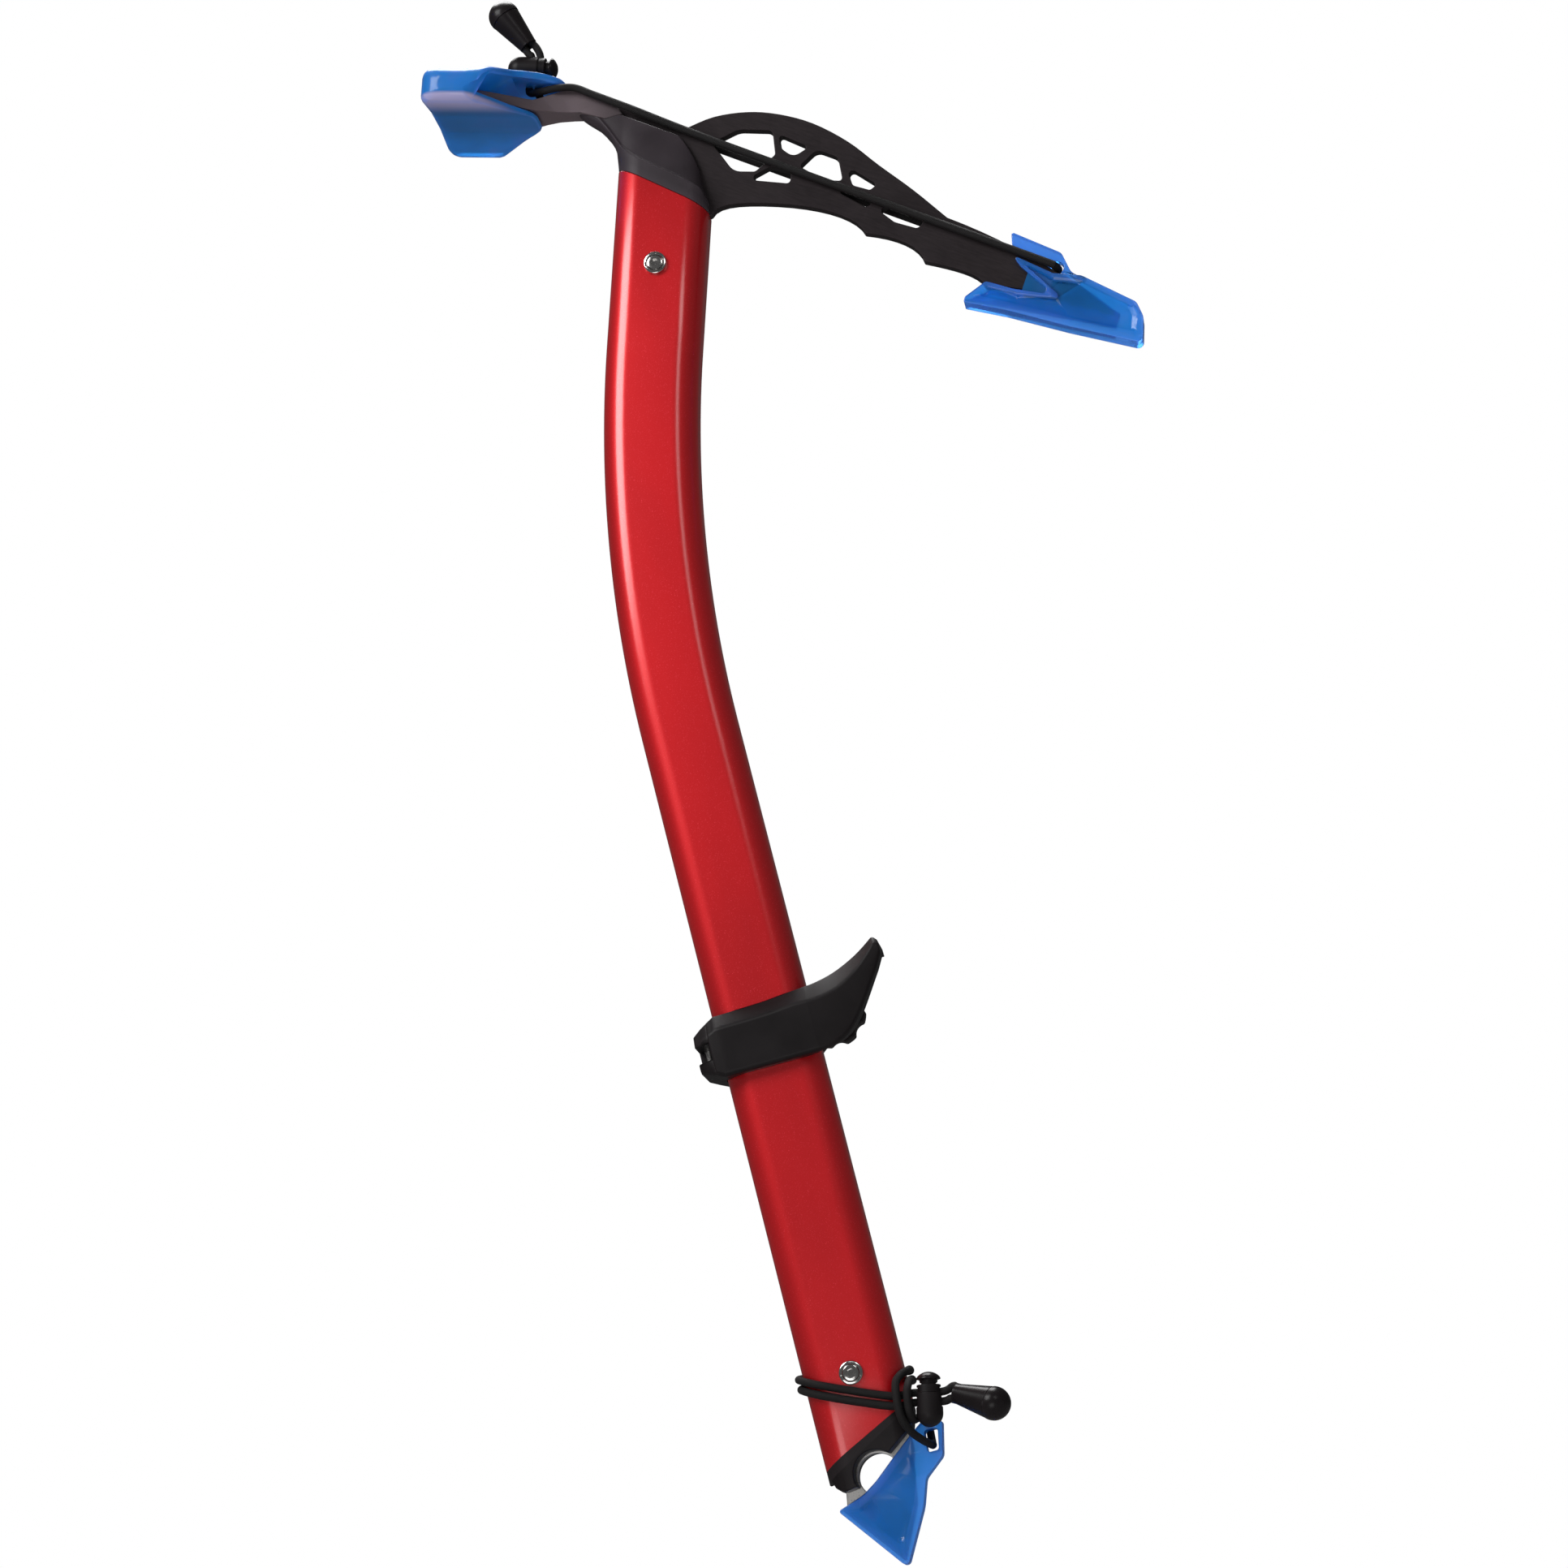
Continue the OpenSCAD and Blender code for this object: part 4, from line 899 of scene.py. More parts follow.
class AXE_OT_shaft(bpy.types.Operator):
    """The bent tube, drawn from its section and cut at the slanted foot and top"""
    bl_idname = "axe.shaft"
    bl_label = "Shaft"

    below = -20.0
    above = 20.0
    straights = 5
    bends = 28
    rim_edge = 0.0004

    def execute(self, context):
        bm = bmesh.new()
        edges = drawn(bm, [(x / 1000, y / 1000, self.below / 1000) for x, y in shaft_section()])[1]
        step = (BEND_START - self.below) / self.straights
        moves = [Matrix.Translation((0, 0, step / 1000))] * self.straights
        hub = Vector((BEND_RADIUS / 1000, 0, BEND_START / 1000))
        turn = Matrix.Rotation(BEND / self.bends, 4, "Y")
        moves += [Matrix.Translation(hub) @ turn @ Matrix.Translation(-hub)] * self.bends
        moves.append(Matrix.Translation(HEAD.to_3x3() @ Vector((0, 0, (UPPER + self.above) / 1000))))
        for move in moves:
            verts, edges = extruded(bm, edges)
            bmesh.ops.transform(bm, matrix=move, verts=verts)
        crown_up = HEAD.to_3x3() @ Vector((math.sin(CROWN), 0, math.cos(CROWN)))
        cut_away(bm, everything(bm), (0, 0, SEEN_FOOT_Z / 1000), -foot_up(SEEN_FOOT), False)
        cut_away(bm, everything(bm), HEAD.translation, crown_up, False)
        outward(bm)
        near = min(bm.faces, key=lambda f: f.calc_center_median().y)
        if near.normal.y > 0:
            bmesh.ops.reverse_faces(bm, faces=bm.faces)
        shaft = as_object("shaft_tube", bm, "anodised_red")
        wall = shaft.modifiers.new("wall", "SOLIDIFY")
        wall.thickness = WALL / 1000
        wall.offset = -1
        rim = shaft.modifiers.new("rims", "BEVEL")
        rim.width = self.rim_edge
        rim.segments = 2
        rim.limit_method = "ANGLE"
        rim.angle_limit = math.radians(50)
        settle(shaft, "axe", "shaft")
        return {"FINISHED"}


# Head and collar

class AXE_OT_head(bpy.types.Operator):
    """The steel pick, arch and adze with their edges eased"""
    bl_idname = "axe.head"
    bl_label = "Head"

    def execute(self, context):
        rounded_copy("head_steel", "head", "dark_steel", "axe", sizes().steel_edge, angle=30)
        return {"FINISHED"}


class AXE_OT_collar(bpy.types.Operator):
    """The moulded collar: a skirt that carries on the shaft, a ridge, and a facet that falls to the plate"""
    bl_idname = "axe.collar"
    bl_label = "Collar"

    # Places along the head in millimetres, and lines through points of such a place and a value
    places = (-32.6, -31.5, -30, -28, -26, -24, -22, -20, -18.5, -17.2, -16.25, -16.0, -15.4, -14.6, -13.4,
              -12, -10.4, -8.6, -7.25, -4, 0, 4, 6.5, 8.25, 9.6, 10.8, 11.8, 12.6, 13.2, 14, 14.8, 15.5, 16.0,
              16.25)
    flush_from = -12.0
    ledge = 1.2
    groove = ((-32.6, 0.0), (-29, 0.3), (-24, 0.6), (-10, 0.9), (12, 0.9), (16.25, 0.0))
    ridge_z = ((-32.6, 30.2), (-29, 29), (-24.8, 27.2), (-20.2, 21.8), (-15, 15), (-10, 11), (-2.3, 7),
               (10.1, 1.7), (13.5, 0.2), (16.25, -4.6))
    ridge_y = ((-32.6, 3.2), (-29, 3.8), (-24.8, 4.4), (-20.2, 5.2), (-15, 6.6), (-10, 9.6), (-5, 10.4),
               (8.3, 10.45), (11, 10.0), (13.5, 8.6), (15.4, 6.0), (16.25, 2.6))
    top_z = ((-32.6, 30.6), (-24, 30.6), (4, 20.6), (7.2, 16.8), (9.6, 12.9), (11.6, 8.9), (13.2, 3.2),
             (14.2, 0.4), (16.25, -4.4))
    top_y = ((-32.6, 2.6), (-30, 4.2), (13.2, 4.2), (15, 4.6), (16.25, 2.4))
    sweep_z = ((-32.6, 29.6), (-31, 27.6), (-28.8, 26), (-23.7, 23.1), (-20.6, 20.2), (-18.5, 17.2),
               (-17, 13.6), (-16.25, 10.6))

    def section(self, x):
        """Half of the collar's section at x, from its underside to the plate"""
        ridge = (along(self.ridge_y, x), along(self.ridge_z, x))
        top = (along(self.top_y, x), along(self.top_z, x))
        if x < -HALF_W:
            low = along(self.sweep_z, x)
            under = [(0.0, low), (ridge[0] * 0.45, low + 0.15),
                     (ridge[0] * 0.85, low + (ridge[1] - low) * 0.45)]
        else:
            low = -x * math.tan(CROWN)
            deep = shaft_depth(x)
            if x > self.flush_from:
                ridge = (min(ridge[0], deep), ridge[1])
            under = [(0.0, low), (deep, low), (deep + (ridge[0] - deep) * 0.4, low + (ridge[1] - low) * 0.5)]
        run = (top[0] - ridge[0], top[1] - ridge[1])
        length = math.hypot(*run)
        share = min(0.4, self.ledge / length)
        sunk = along(self.groove, x) / length
        seat = (ridge[0] + run[0] * share - run[1] * sunk, ridge[1] + run[1] * share + run[0] * sunk)
        facet = [(seat[0] + (top[0] - seat[0]) * t, seat[1] + (top[1] - seat[1]) * t) for t in (0.33, 0.66)]
        return under + [ridge, seat] + facet + [top, (0.0, top[1])]

    def execute(self, context):
        bm = bmesh.new()
        loft(bm, [[on_head(x, -y, z) for y, z in self.section(x)] for x in self.places], closed=False)
        bmesh.ops.mirror(bm, geom=everything(bm), axis="Y", merge_dist=1e-6)
        bmesh.ops.remove_doubles(bm, verts=bm.verts, dist=5e-6)
        bmesh.ops.holes_fill(bm, edges=[e for e in bm.edges if e.is_boundary], sides=0)
        outward(bm)
        round_edges(bm, sizes().moulded_edge, 2, 18)
        flat_faced("collar_moulding", bm, "collar_moulding", "axe", "head_collar")
        return {"FINISHED"}


# Foot

class AXE_OT_foot(bpy.types.Operator):
    """The spike and the moulded plug that holds it"""
    bl_idname = "axe.foot"
    bl_label = "Spike and plug"

    plug_edge = 0.0005
    inset = 0.998
    band_from = -20.0
    band_height = 70.0
    under_shaft = 0.3
    over_block = 0.7

    def execute(self, context):
        edge = sizes().fixing_edge
        rounded_copy("spike_blade", "spike", "spike_steel", "axe", edge, angle=30)
        block = solid_copy("spike_plug")
        round_edges(block, self.plug_edge, 3, 30)
        whole = joined([(block, Matrix()), (self.shoulder(), Matrix())])
        flat_faced("spike_block", whole, "black_moulding", "axe", "spike_plug")
        return {"FINISHED"}

    def shoulder(self):
        """The band of the plug that shows below the shaft's slanted edge"""
        bm = bmesh.new()
        low = self.band_from / 1000
        outline = [(x * self.inset / 1000, y * self.inset / 1000, low) for x, y in shaft_section()]
        verts = extruded(bm, drawn(bm, outline)[1])[0]
        bmesh.ops.translate(bm, verts=verts, vec=(0, 0, self.band_height / 1000))
        cuts = ((SEEN_FOOT_Z + self.under_shaft, foot_up(SEEN_FOOT)),
                (FOOT_Z - self.over_block, -foot_up(FOOT)))
        for lift, out in cuts:
            cut_away(bm, everything(bm), (0, 0, lift / 1000), out, True)
        outward(bm)
        return bm


# Covers

def rounded_outline(points, steps=5):
    """A closed outline whose corners, given as x, z and radius, are rounded"""
    outline = []
    count = len(points)
    for i, (x, z, r) in enumerate(points):
        here = Vector((x, z))
        back = Vector(points[i - 1][:2]) - here
        ahead = Vector(points[(i + 1) % count][:2]) - here
        half = back.angle(ahead) / 2
        reach = r / math.tan(half)
        middle = here + (back.normalized() + ahead.normalized()).normalized() * r / math.sin(half)
        first = here + back.normalized() * reach - middle
        turn = first.angle_signed(here + ahead.normalized() * reach - middle)
        for k in range(steps + 1):
            spoke = first.copy()
            spoke.rotate(Matrix.Rotation(-turn * k / steps, 2))
            outline.append(middle + spoke)
    return outline


def sunk_panel(bm, side, outline, where):
    """Rebuilds a cover's broad face as a border round a sunk panel"""
    out = Vector((0, side, 0))
    flat = [f for f in bm.faces if f.normal.dot(out) > 0.99]
    level = max(f.calc_center_median().y * side for f in flat)
    broad = {f: None for f in flat if abs(f.calc_center_median().y * side - level) < 5e-5}
    rim = [e for f in broad for e in f.edges if sum(g in broad for g in e.link_faces) == 1]
    bmesh.ops.delete(bm, geom=list(broad), context="FACES")
    places = [where @ Vector((p.x / 1000, 0, p.y / 1000)) for p in outline]
    edges = drawn(bm, [(p.x, side * level, p.z) for p in places])[1]
    bmesh.ops.triangle_fill(bm, use_beauty=True, use_dissolve=False, edges=rim + edges, normal=out)
    verts, edges = extruded(bm, edges)
    middle = sum((v.co for v in verts), Vector()) / len(verts)
    for vert in verts:
        inward = (middle - vert.co).normalized() * PANEL_SLOPE / 1000
        vert.co += Vector((inward.x, -side * PANEL_DEPTH / 1000, inward.z))
    bmesh.ops.triangle_fill(bm, use_beauty=True, use_dissolve=False, edges=edges, normal=out)


class AXE_OT_covers(bpy.types.Operator):
    """The pick's and the spike's translucent covers, with a border round a sunk panel"""
    bl_idname = "axe.covers"
    bl_label = "Pick and spike covers"

    # Corners of the sunk panels: x, z and radius in millimetres
    pick_panel = ((123.6, -23.0, 0.4), (135.2, -28.6, 2), (144.8, -29.8, 4), (162.2, -38.4, 2),
                  (163.8, -42.4, 3), (164.0, -47.6, 1), (141.4, -43.0, 6), (121.0, -38.0, 6),
                  (109.6, -35.6, 0.6), (113.4, -32.6, 1), (122.4, -35.2, 5), (139.6, -36.8, 1.2))
    spike_panel = ((-9.6, -9.3, 1.2), (1.9, -24.4, 1.6), (8.6, -12.3, 8), (11.7, -3.4, 4), (12.4, 5.4, 1.2),
                   (5.6, 0.6, 8), (-1.0, -4.6, 6), (-5.6, -7.4, 3))

    def execute(self, context):
        covers = (("pick_cover", "pick_guard", self.pick_panel, HEAD, "cover_clear"),
                  ("spike_cover", "spike_guard", self.spike_panel, Matrix(), "cover_blue"))
        for name, node_name, panel, where, look in covers:
            bm = solid_copy(node_name)
            round_edges(bm, sizes().cover_edge, 2, 40)
            for side in (-1, 1):
                sunk_panel(bm, side, rounded_outline(panel), where)
            outward(bm)
            flat_faced(name, bm, look, node_name, node_name)
        return {"FINISHED"}


class AXE_OT_adze_cover(bpy.types.Operator):
    """The adze's cover: a vaulted pocket with full rims, a lower lip and an upper tongue"""
    bl_idname = "axe.adze_cover"
    bl_label = "Adze cover"

    # In millimetres on the head: the lines go by the distance from the middle, and pocket is its rear,
    # its floor and its ceiling
    widen = 1.14
    half = 26.8
    wall = 24.4
    rear = -82.8
    corner = 7.0
    bead = 4.2
    rim = 35.25
    tongue = 2.6
    pocket = (-80.4, 27.1, 30.9)
    floor = ((0, 25.35), (7, 25.35), (26.8, 22.75))
    roof = ((0, 41.1), (9, 41.1), (26.8, 35.25))
    tongue_front = ((0, -36.5), (3, -36.8), (5, -37.6), (6.6, -39.2), (8, -41.6), (9.2, -44.6), (10.4, -48),
                    (12, -51), (14, -53.2), (17, -54.8), (20, -56), (23, -57.6), (25, -59.2), (26.8, -61))
    lip_front = ((0, -45.5), (4, -45.6), (6.4, -46.4), (8.4, -48.2), (10.4, -50.4), (13, -53), (17, -56.6),
                 (21, -60.2), (24, -63), (26.8, -66))
    near = (26.8, 26.75, 26.6, 26.3, 25.9, 25.4, 24.9, 24.42, 24.38, 23, 21.5, 20, 18, 16, 14.6, 13.2, 12, 11,
            10.2, 9.4, 8.6, 7.8, 7, 6.2, 5.2, 4, 2.5)

    def section(self, y):
        """The cover's section at that distance from the middle, as points of x and z"""
        inner = self.half - y
        ease = 1 - math.sqrt(max(0.0, 1 - (1 - min(1.0, inner / self.bead)) ** 2))
        past = max(0.0, y - (self.half - self.corner))
        rear = self.rear + self.corner - math.sqrt(max(0.0, self.corner ** 2 - past ** 2)) + ease * 0.6
        low = along(self.floor, y) + ease * self.bead
        rim = self.rim - ease * self.bead
        roof = along(self.roof, y) - ease * self.bead
        front = along(self.tongue_front, y) - ease * 0.8
        lip = along(self.lip_front, y) - ease * 0.8
        tip = roof - max(0.0, min(1.0, (front + 50) / 13.5))
        low_r = min(2.6, (rim - low) * 0.45)
        top_r = min(3.0, (rim - low) * 0.45)
        edge_r = min(1.2, (tip - low) * 0.2)
        points = arc(rear + low_r, low + low_r, low_r, 270, 180, 5)
        points += arc(rear + top_r, rim - top_r, top_r, 180, 90, 5)
        rise = min(-56.0, front - 2.2)
        step = roof - rim
        points += [(min(-70.0, rise - 6), rim), (min(-66.0, rise - 4), rim + step * 0.24),
                   (min(-60.0, rise - 2), rim + step * 0.80), (rise, roof), (min(-50.0, front - 1.4), roof)]
        points += arc(front - edge_r, tip - edge_r, edge_r, 90, 0, 3)
        if y < self.wall:
            back, bottom, ceiling = self.pocket
            inside = roof - self.tongue
            points += arc(front - 1.0, tip - 1.6, 1.0, 0, -90, 3)
            points += [(min(-50.0, front - 1.2), inside), (min(-54.5, front - 1.6), inside),
                       (min(-64.0, front - 4), ceiling), (back, ceiling), (back, bottom),
                       (min(-62.0, lip - 2), bottom)]
            points += arc(lip - 0.7, bottom - 0.7, 0.7, 90, 0, 3)
        else:
            ends = (Vector((front, tip - edge_r)), Vector((lip, low + edge_r)))
            points += [tuple(ends[0].lerp(ends[1], k / 15)) for k in range(1, 15)]
        points += arc(lip - edge_r, low + edge_r, edge_r, 0, -90, 3)
        return points

    def execute(self, context):
        spots = [-y for y in self.near] + [0.0] + list(self.near[::-1])
        bm = bmesh.new()
        loft(bm, [[on_head(x, y * self.widen, z) for x, z in self.section(abs(y))] for y in spots])
        outward(bm)
        settle(as_object("adze_cover", bm, "cover_vault"), "adze_guard", "adze_guard")
        return {"FINISHED"}


# Cord ends and toggles

def cord_end():
    """A cone with a hollow mouth, a fine seam and a ball at its end"""
    profile = [(0, 1.6), (2.4, 1.6), (2.55, 0.35)] + arc(2.9, 0.35, 0.35, 180, 330, 5)
    profile += [(3.25, 0.9), (5.15, 12.6), (5.2, 13.0), (5.08, 13.2), (5.08, 13.4)]
    profile += arc(0, 14.4, 5.45, -10, 90, 14)
    profile[-1] = (0, profile[-1][1])
    return turned(profile, 48)


class AXE_OT_cord_ends(bpy.types.Operator):
    """The moulded bulbs on the ends of the elastics"""
    bl_idname = "axe.cord_ends"
    bl_label = "Cord ends"

    def execute(self, context):
        tilt = Matrix.Rotation(HEAD_BULB_TILT, 4, "Y")
        upper = HEAD @ Matrix.Translation(HEAD_BULB / 1000) @ tilt
        aim = Vector((0, 0, 1)).rotation_difference(spike_bulb_dir()).to_matrix().to_4x4()
        lower = Matrix.Translation(SPIKE_BULB / 1000) @ aim
        for end, body, where in (("head", "adze_guard", upper), ("spike", "axe", lower)):
            bulb = as_object(end + "_bulb", joined([(cord_end(), where)]), "gloss_moulding")
            settle(bulb, body, end + "_cord_end")
        return {"FINISHED"}


class AXE_OT_toggles(bpy.types.Operator):
    """The cord locks: bodies and plungers with rounded edges"""
    bl_idname = "axe.toggles"
    bl_label = "Toggles"

    def execute(self, context):
        for end in ("head", "spike"):
            rounded_copy(end + "_lock_body", end + "_toggle_body", "black_moulding", end + "_toggle",
                         sizes().shell_edge, angle=35)
            rounded_copy(end + "_lock_plunger", end + "_toggle_plunger", "gloss_moulding", end + "_plunger",
                         sizes().moulded_edge, angle=35)
        return {"FINISHED"}


def coil(radius, wire, low, high, turns):
    """A spring: a round wire wound up from one height to another"""
    bm = bmesh.new()
    stand = Matrix.Translation((radius, 0, low + wire)) @ SIDEWAYS
    ring = bmesh.ops.create_circle(bm, cap_ends=True, segments=10, radius=wire, matrix=stand)["verts"]
    steps = turns * 20
    rise = (high - low - wire * 2) / steps
    bmesh.ops.spin(bm, geom=ring + edges_of(ring) + bm.faces[:], cent=(0, 0, 0), axis=(0, 0, 1),
                   dvec=(0, 0, rise), angle=math.tau * turns, steps=steps)
    outward(bm)
    return bm


class AXE_OT_springs(bpy.types.Operator):
    """The toggles' springs, wound between the ends of the nodes' springs"""
    bl_idname = "axe.springs"
    bl_label = "Springs"

    # In metres, apart from the turns
    radius = 0.00225
    wire = 0.00025
    clearance = 0.00005
    turns = 3

    def execute(self, context):
        upper = HEAD @ Matrix.Translation(HEAD_TOGGLE / 1000) @ Matrix.Rotation(math.pi / 2, 4, "Y")
        lower = Matrix.Translation(SPIKE_TOGGLE / 1000) @ Matrix.Rotation(-TOGGLE_SLOPE, 4, "Y")
        for end, where in (("head", upper), ("spike", lower)):
            node_name = end + "_toggle_spring"
            heights = [(where.inverted() @ v.co).z for v in NODES[node_name].data.vertices]
            low = min(heights)
            high = max(heights)
            wound = coil(self.radius, self.wire, low + self.clearance, high - self.clearance, self.turns)
            stretched(end + "_lock_spring", joined([(wound, where)]), "bolt_steel",
                      node_name)
        return {"FINISHED"}


# Finger rest

def bezier(a, b, c, d, steps=10):
    """Points of a curve from a to d that heads for b and comes from c"""
    curve = []
    for k in range(steps + 1):
        t = k / steps
        u = 1 - t
        curve.append(tuple(u ** 3 * p + 3 * u * u * t * q + 3 * u * t * t * r + t ** 3 * w
                           for p, q, r, w in zip(a, b, c, d)))
    return curve


class AXE_OT_finger_rest(bpy.types.Operator):
    """The clamp's two shells with their brow, its pin and its thumbscrew"""
    bl_idname = "axe.finger_rest"
    bl_label = "Finger rest"

    # In millimetres from the rest's middle: places along it, and lines through points of place and value
    notch = (-3.8, 1.8)
    gap = 0.3
    knob_edge = 0.0006
    pin_edge = 0.0002
    knuckle_r = 3.0
    knuckle_height = 5.0
    knuckle_place = (-20.15, -0.9, -1.0)
    rear = (-23.35, -22.2, -20.35, -18.8)
    overlap = (-18.0,)
    middle = (-18.25, -17.4, -16.6, -16.5, -16.3, -15.9, -15.35, -14.35, -13, -11, -9, -7.25, -2, 3, 8.25, 10,
              12, 13.5, 14.8, 15.7, 16.2, 16.45, 16.5, 16.6)
    horn = (17.25, 18.75, 20.5, 22.5, 24.5, 26.5, 28.5, 30.5, 32.5, 34.5, 36.5, 38.5, 40.25, 41.2, 42, 42.7,
            43.25)
    rise = ((-23.35, 0.02), (11.0, 0.02), (17.25, 0.2), (43.25, 0.2))
    lower = ([(-23.35, -6.9), (-15.35, -10.5), (18.75, -10.5)]
             + bezier((18.75, -10.5), (28.25, -9.5), (31.25, -2.5), (40.25, 11.1))[1:] + [(43.25, 16.5)])
    upper = ([(-23.35, 6.1), (-15.35, 10.5), (2, 11.0)]
             + bezier((17.25, 12.5), (24.25, 13.1), (34.25, 17.5), (41.65, 23.3)) + [(43.25, 21.5)])
    width = ((-23.35, 10.6), (-20.35, 13.6), (-17.4, 14.8), (-14.35, 15.3), (16.25, 15.3), (21, 14.9),
             (26, 13.8), (31.25, 12.5), (44.25, 9.5))
    brow = ((-23.35, 3.4), (-16.5, 4.9), (12, 5.2), (19.1, 6.0), (27.1, 6.4), (35.4, 5.0), (41.0, 3.2),
            (43.25, 1.6))

    def inside(self, x):
        """Distance from the middle at which the shell's inner wall lies"""
        return self.gap if abs(x) >= HALF_W + self.gap else shaft_depth(x, self.gap)

    def section(self, x, side, floor=None, ceiling=None):
        """One shell's section at x, where the notch may cut it off at a floor or a ceiling"""
        low = along(self.lower, x) if floor is None else floor
        high = along(self.upper, x) if ceiling is None else ceiling
        wide = along(self.width, x)
        drop = along(self.brow, x) if ceiling is None else 0.2
        turn = 1.4 if floor is None else 0.2
        rise = along(self.rise, x) if floor is None else 0.0
        inner = self.inside(x)
        sill = high - drop - 0.5
        under = ((wide, low + turn), (wide - turn * 0.35, low + turn * 0.35), (wide - turn, low),
                 (inner, low))
        under = [(y, min(z + rise * (side * y + wide), sill - 0.4)) for y, z in under]
        points = [(inner, high), (max(inner + 0.2, wide - drop * 0.82), high),
                  (wide - 0.12 * drop, high - drop * 0.86), (wide, sill),
                  (wide + 0.12, (sill + under[0][1]) / 2)] + under
        return [Vector((x, side * y, z + FINGER_REST_Z)) / 1000 for y, z in points]

    def shell(self, bm, places, side, floor=None, ceiling=None):
        loft(bm, [self.section(x, side, floor, ceiling) for x in places])

    def knuckle(self, bm):
        """The far shell's round knuckle on the pin, cut flat where it meets the near shell"""
        r = self.knuckle_r / 1000
        verts = bmesh.ops.create_cone(bm, cap_ends=True, segments=40, radius1=r, radius2=r,
                                      depth=self.knuckle_height / 1000)["verts"]
        x, y, z = self.knuckle_place
        bmesh.ops.translate(bm, verts=verts, vec=(x / 1000, 0, (FINGER_REST_Z + z) / 1000))
        faces = list(dict.fromkeys(f for v in verts for f in v.link_faces))
        cut_away(bm, verts + edges_of(verts) + faces, (0, y / 1000, 0), (0, -1, 0), True)

    def finished(self, name, bm, body, node_name):
        outward(bm)
        round_edges(bm, sizes().shell_edge, 2, 24)
        flat_faced(name, bm, "black_moulding", body, node_name)

    def execute(self, context):
        bm = bmesh.new()
        self.shell(bm, self.middle + self.horn, -1)
        self.shell(bm, self.rear + self.overlap, -1, floor=self.notch[1])
        self.shell(bm, self.rear + self.overlap, -1, ceiling=self.notch[0])
        self.finished("near_shell", bm, "trigger", "trigger_near_shell")
        bm = bmesh.new()
        self.shell(bm, self.rear + self.middle + self.horn, 1)
        self.knuckle(bm)
        self.finished("far_shell", bm, "trigger_far", "trigger_far_shell")
        rounded_copy("screw_knob", "thumbscrew_knob", "black_moulding", "thumbscrew",
                     self.knob_edge, segments=3)
        rounded_copy("hinge_pin", "trigger_hinge_pin", "spike_steel", "trigger",
                     self.pin_edge)
        return {"FINISHED"}


# Fixings

def flanged_ring():
    """A ferrule's flange with three pockets for its wrench"""
    bm = turned([(2.78, 10.55), (2.78, 11.62), (2.92, 11.78), (3.62, 11.78), (3.84, 11.62), (3.9, 11.4),
                 (3.9, 10.5)], 60)
    pockets = []
    for face in bm.faces:
        centre = face.calc_center_median()
        turn = math.degrees(math.atan2(centre.y, centre.x))
        away = min(abs((turn - way + 180) % 360 - 180) for way in (75, 195, 315))
        if face.normal.z > 0.9 and away < 17:
            pockets.append(face)
    for thickness, depth in ((0.00006, 0), (0.00004, -0.0006)):
        bmesh.ops.inset_region(bm, faces=pockets, thickness=thickness, depth=depth, use_boundary=True)
    return bm


def bolt_head():
    """A low round head with a hexagon socket"""
    bm = turned([(2.66, 10.45), (2.66, 11.5), (2.56, 11.68), (2.36, 11.76)], 48)
    top = max(v.co.z for v in bm.verts)
    rim = [e for e in bm.edges if all(v.co.z > top - 1e-6 for v in e.verts)]
    socket = 0.00145
    depth = 0.0011
    corners = [math.radians(60 * k + 12) for k in range(6)]
    edges = drawn(bm, [(socket * math.cos(a), socket * math.sin(a), top) for a in corners])[1]
    bmesh.ops.triangle_fill(bm, use_beauty=True, use_dissolve=False, edges=rim + edges, normal=(0, 0, 1))
    verts, edges = extruded(bm, edges)
    bmesh.ops.translate(bm, verts=verts, vec=(0, 0, -depth))
    bmesh.ops.contextual_create(bm, geom=edges)
    outward(bm)
    return bm


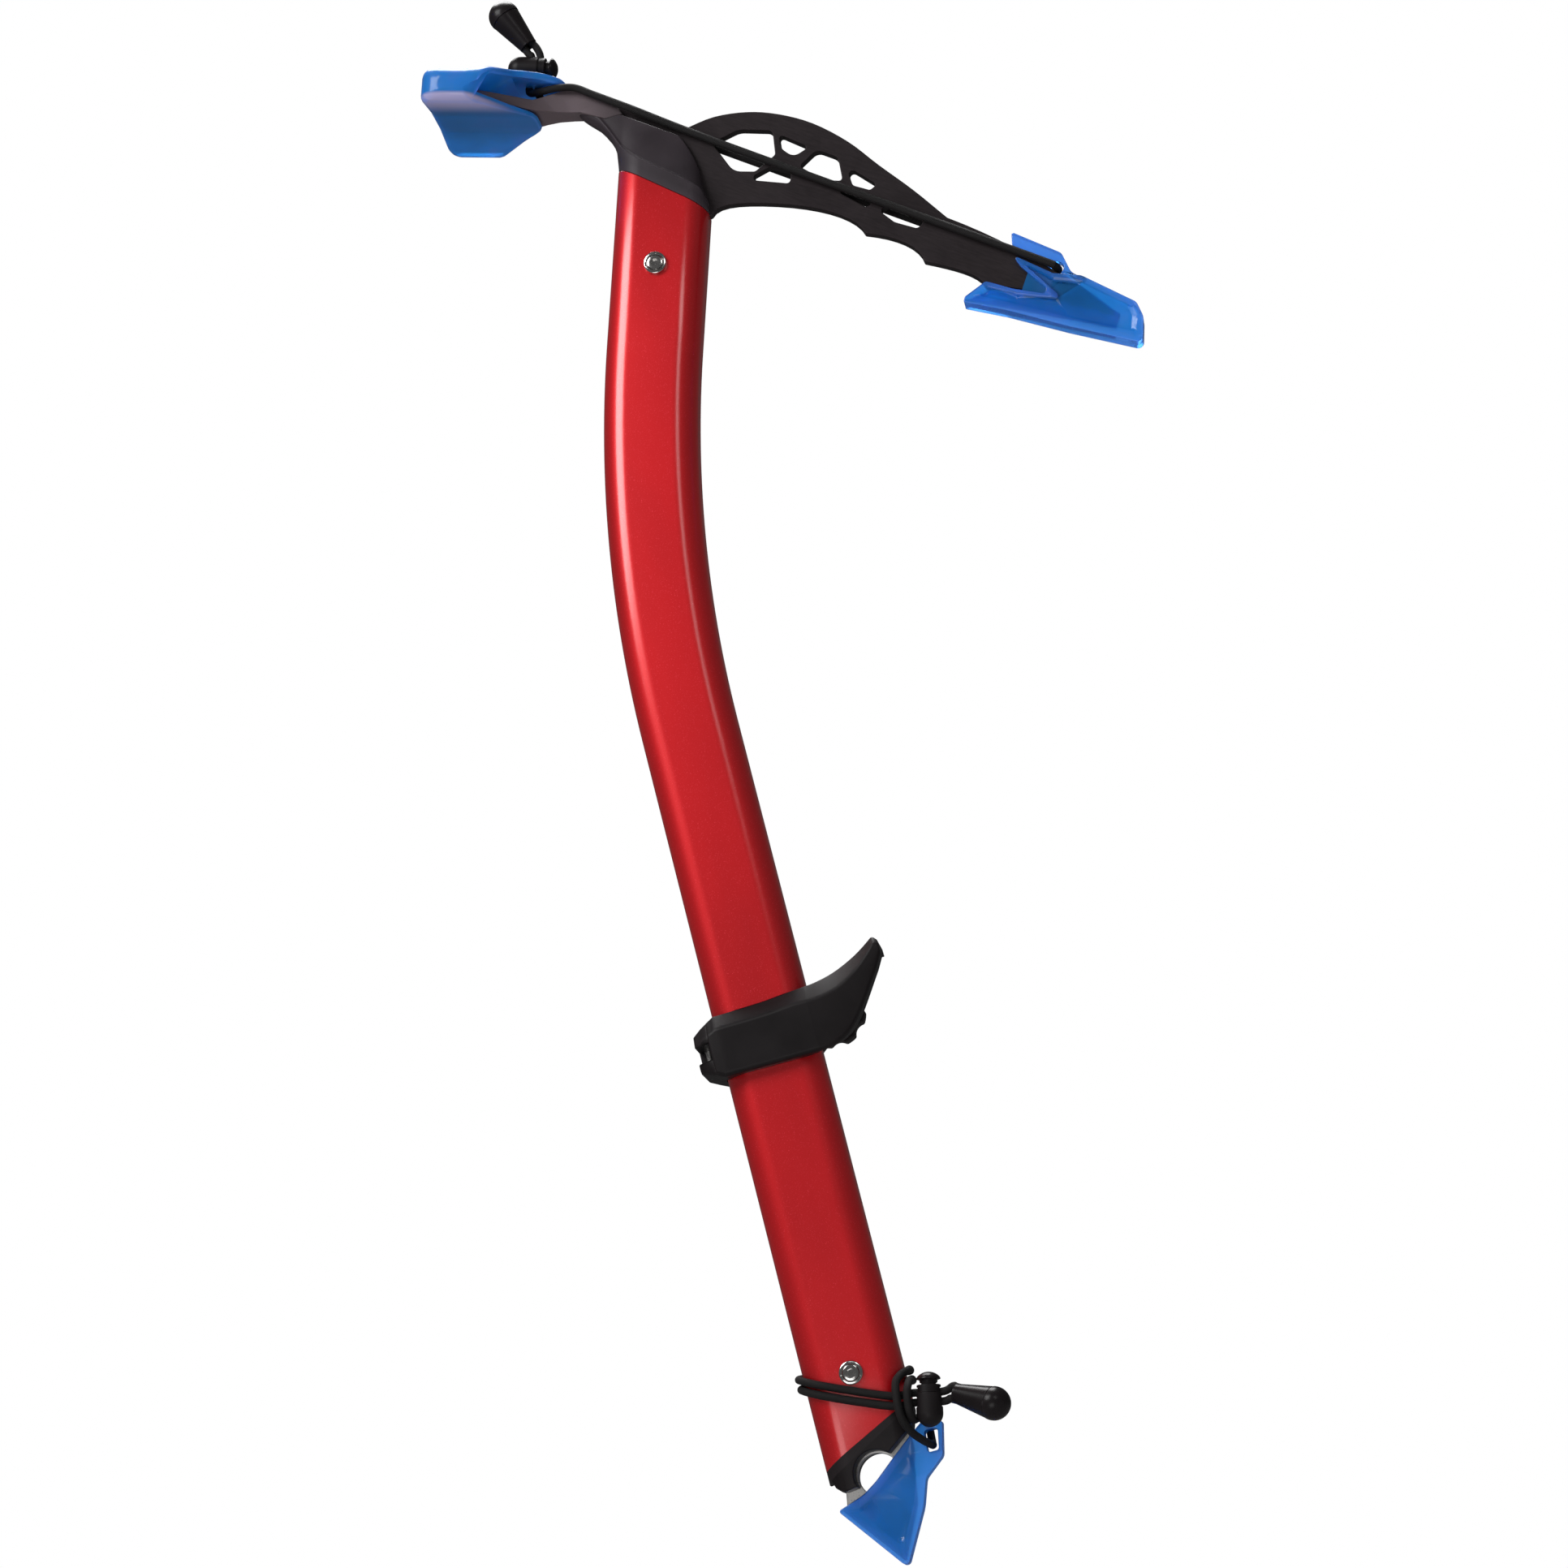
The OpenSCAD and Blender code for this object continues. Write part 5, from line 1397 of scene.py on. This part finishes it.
class AXE_OT_fixings(bpy.types.Operator):
    """Bolts, ferrules and barrel nuts"""
    bl_idname = "axe.fixings"
    bl_label = "Fixings"

    def execute(self, context):
        rings = joined([(flanged_ring(), where) for where in BOLT_PLACES])
        settle(as_object("ferrule_rings", rings, "bolt_steel"), "axe", "bolt_ferrules")
        heads = joined([(bolt_head(), where) for where in BOLT_PLACES])
        settle(as_object("bolt_heads", heads, "bolt_steel"), "axe", "bolts")
        rounded_copy("nut_flanges", "barrel_nuts", "bolt_steel", "axe", sizes().fixing_edge)
        return {"FINISHED"}


class AXE_OT_finishes(bpy.types.Operator):
    """Finishes of the nodes that are left showing"""
    bl_idname = "axe.finishes"
    bl_label = "Finishes"

    def execute(self, context):
        for each in ("trigger_nut", "thumbscrew_stud"):
            paint(NODES[each], "bolt_steel")
        return {"FINISHED"}


class AXE_PT_panel(bpy.types.Panel):
    """Lists the axe's operators"""
    bl_idname = "AXE_PT_panel"
    bl_label = "Ice Axe"
    bl_space_type = "VIEW_3D"
    bl_region_type = "UI"
    bl_category = "Ice Axe"

    def draw(self, context):
        for operator in OPERATORS:
            self.layout.operator(operator.bl_idname)


GROUPS = (AxeStage, AxeColours, AxeSizes)
OPERATORS = (AXE_OT_stage, AXE_OT_cords, AXE_OT_shaft, AXE_OT_head, AXE_OT_collar, AXE_OT_foot, AXE_OT_covers,
             AXE_OT_adze_cover, AXE_OT_cord_ends, AXE_OT_toggles, AXE_OT_springs, AXE_OT_finger_rest,
             AXE_OT_fixings, AXE_OT_finishes)
CLASSES = (*GROUPS, *OPERATORS, AXE_PT_panel)


def register():
    for each in CLASSES:
        bpy.utils.register_class(each)
    bpy.types.Scene.axe_stage = PointerProperty(type=AxeStage)
    bpy.types.Scene.axe_colours = PointerProperty(type=AxeColours)
    bpy.types.Scene.axe_sizes = PointerProperty(type=AxeSizes)


def unregister():
    del bpy.types.Scene.axe_sizes
    del bpy.types.Scene.axe_colours
    del bpy.types.Scene.axe_stage
    for each in reversed(CLASSES):
        bpy.utils.unregister_class(each)


def main():
    register()
    bpy.ops.axe.stage()
    bpy.ops.axe.cords()
    bpy.ops.axe.shaft()
    bpy.ops.axe.head()
    bpy.ops.axe.collar()
    bpy.ops.axe.foot()
    bpy.ops.axe.covers()
    bpy.ops.axe.adze_cover()
    bpy.ops.axe.cord_ends()
    bpy.ops.axe.toggles()
    bpy.ops.axe.springs()
    bpy.ops.axe.finger_rest()
    bpy.ops.axe.fixings()
    bpy.ops.axe.finishes()


if __name__ == "__main__":
    main()
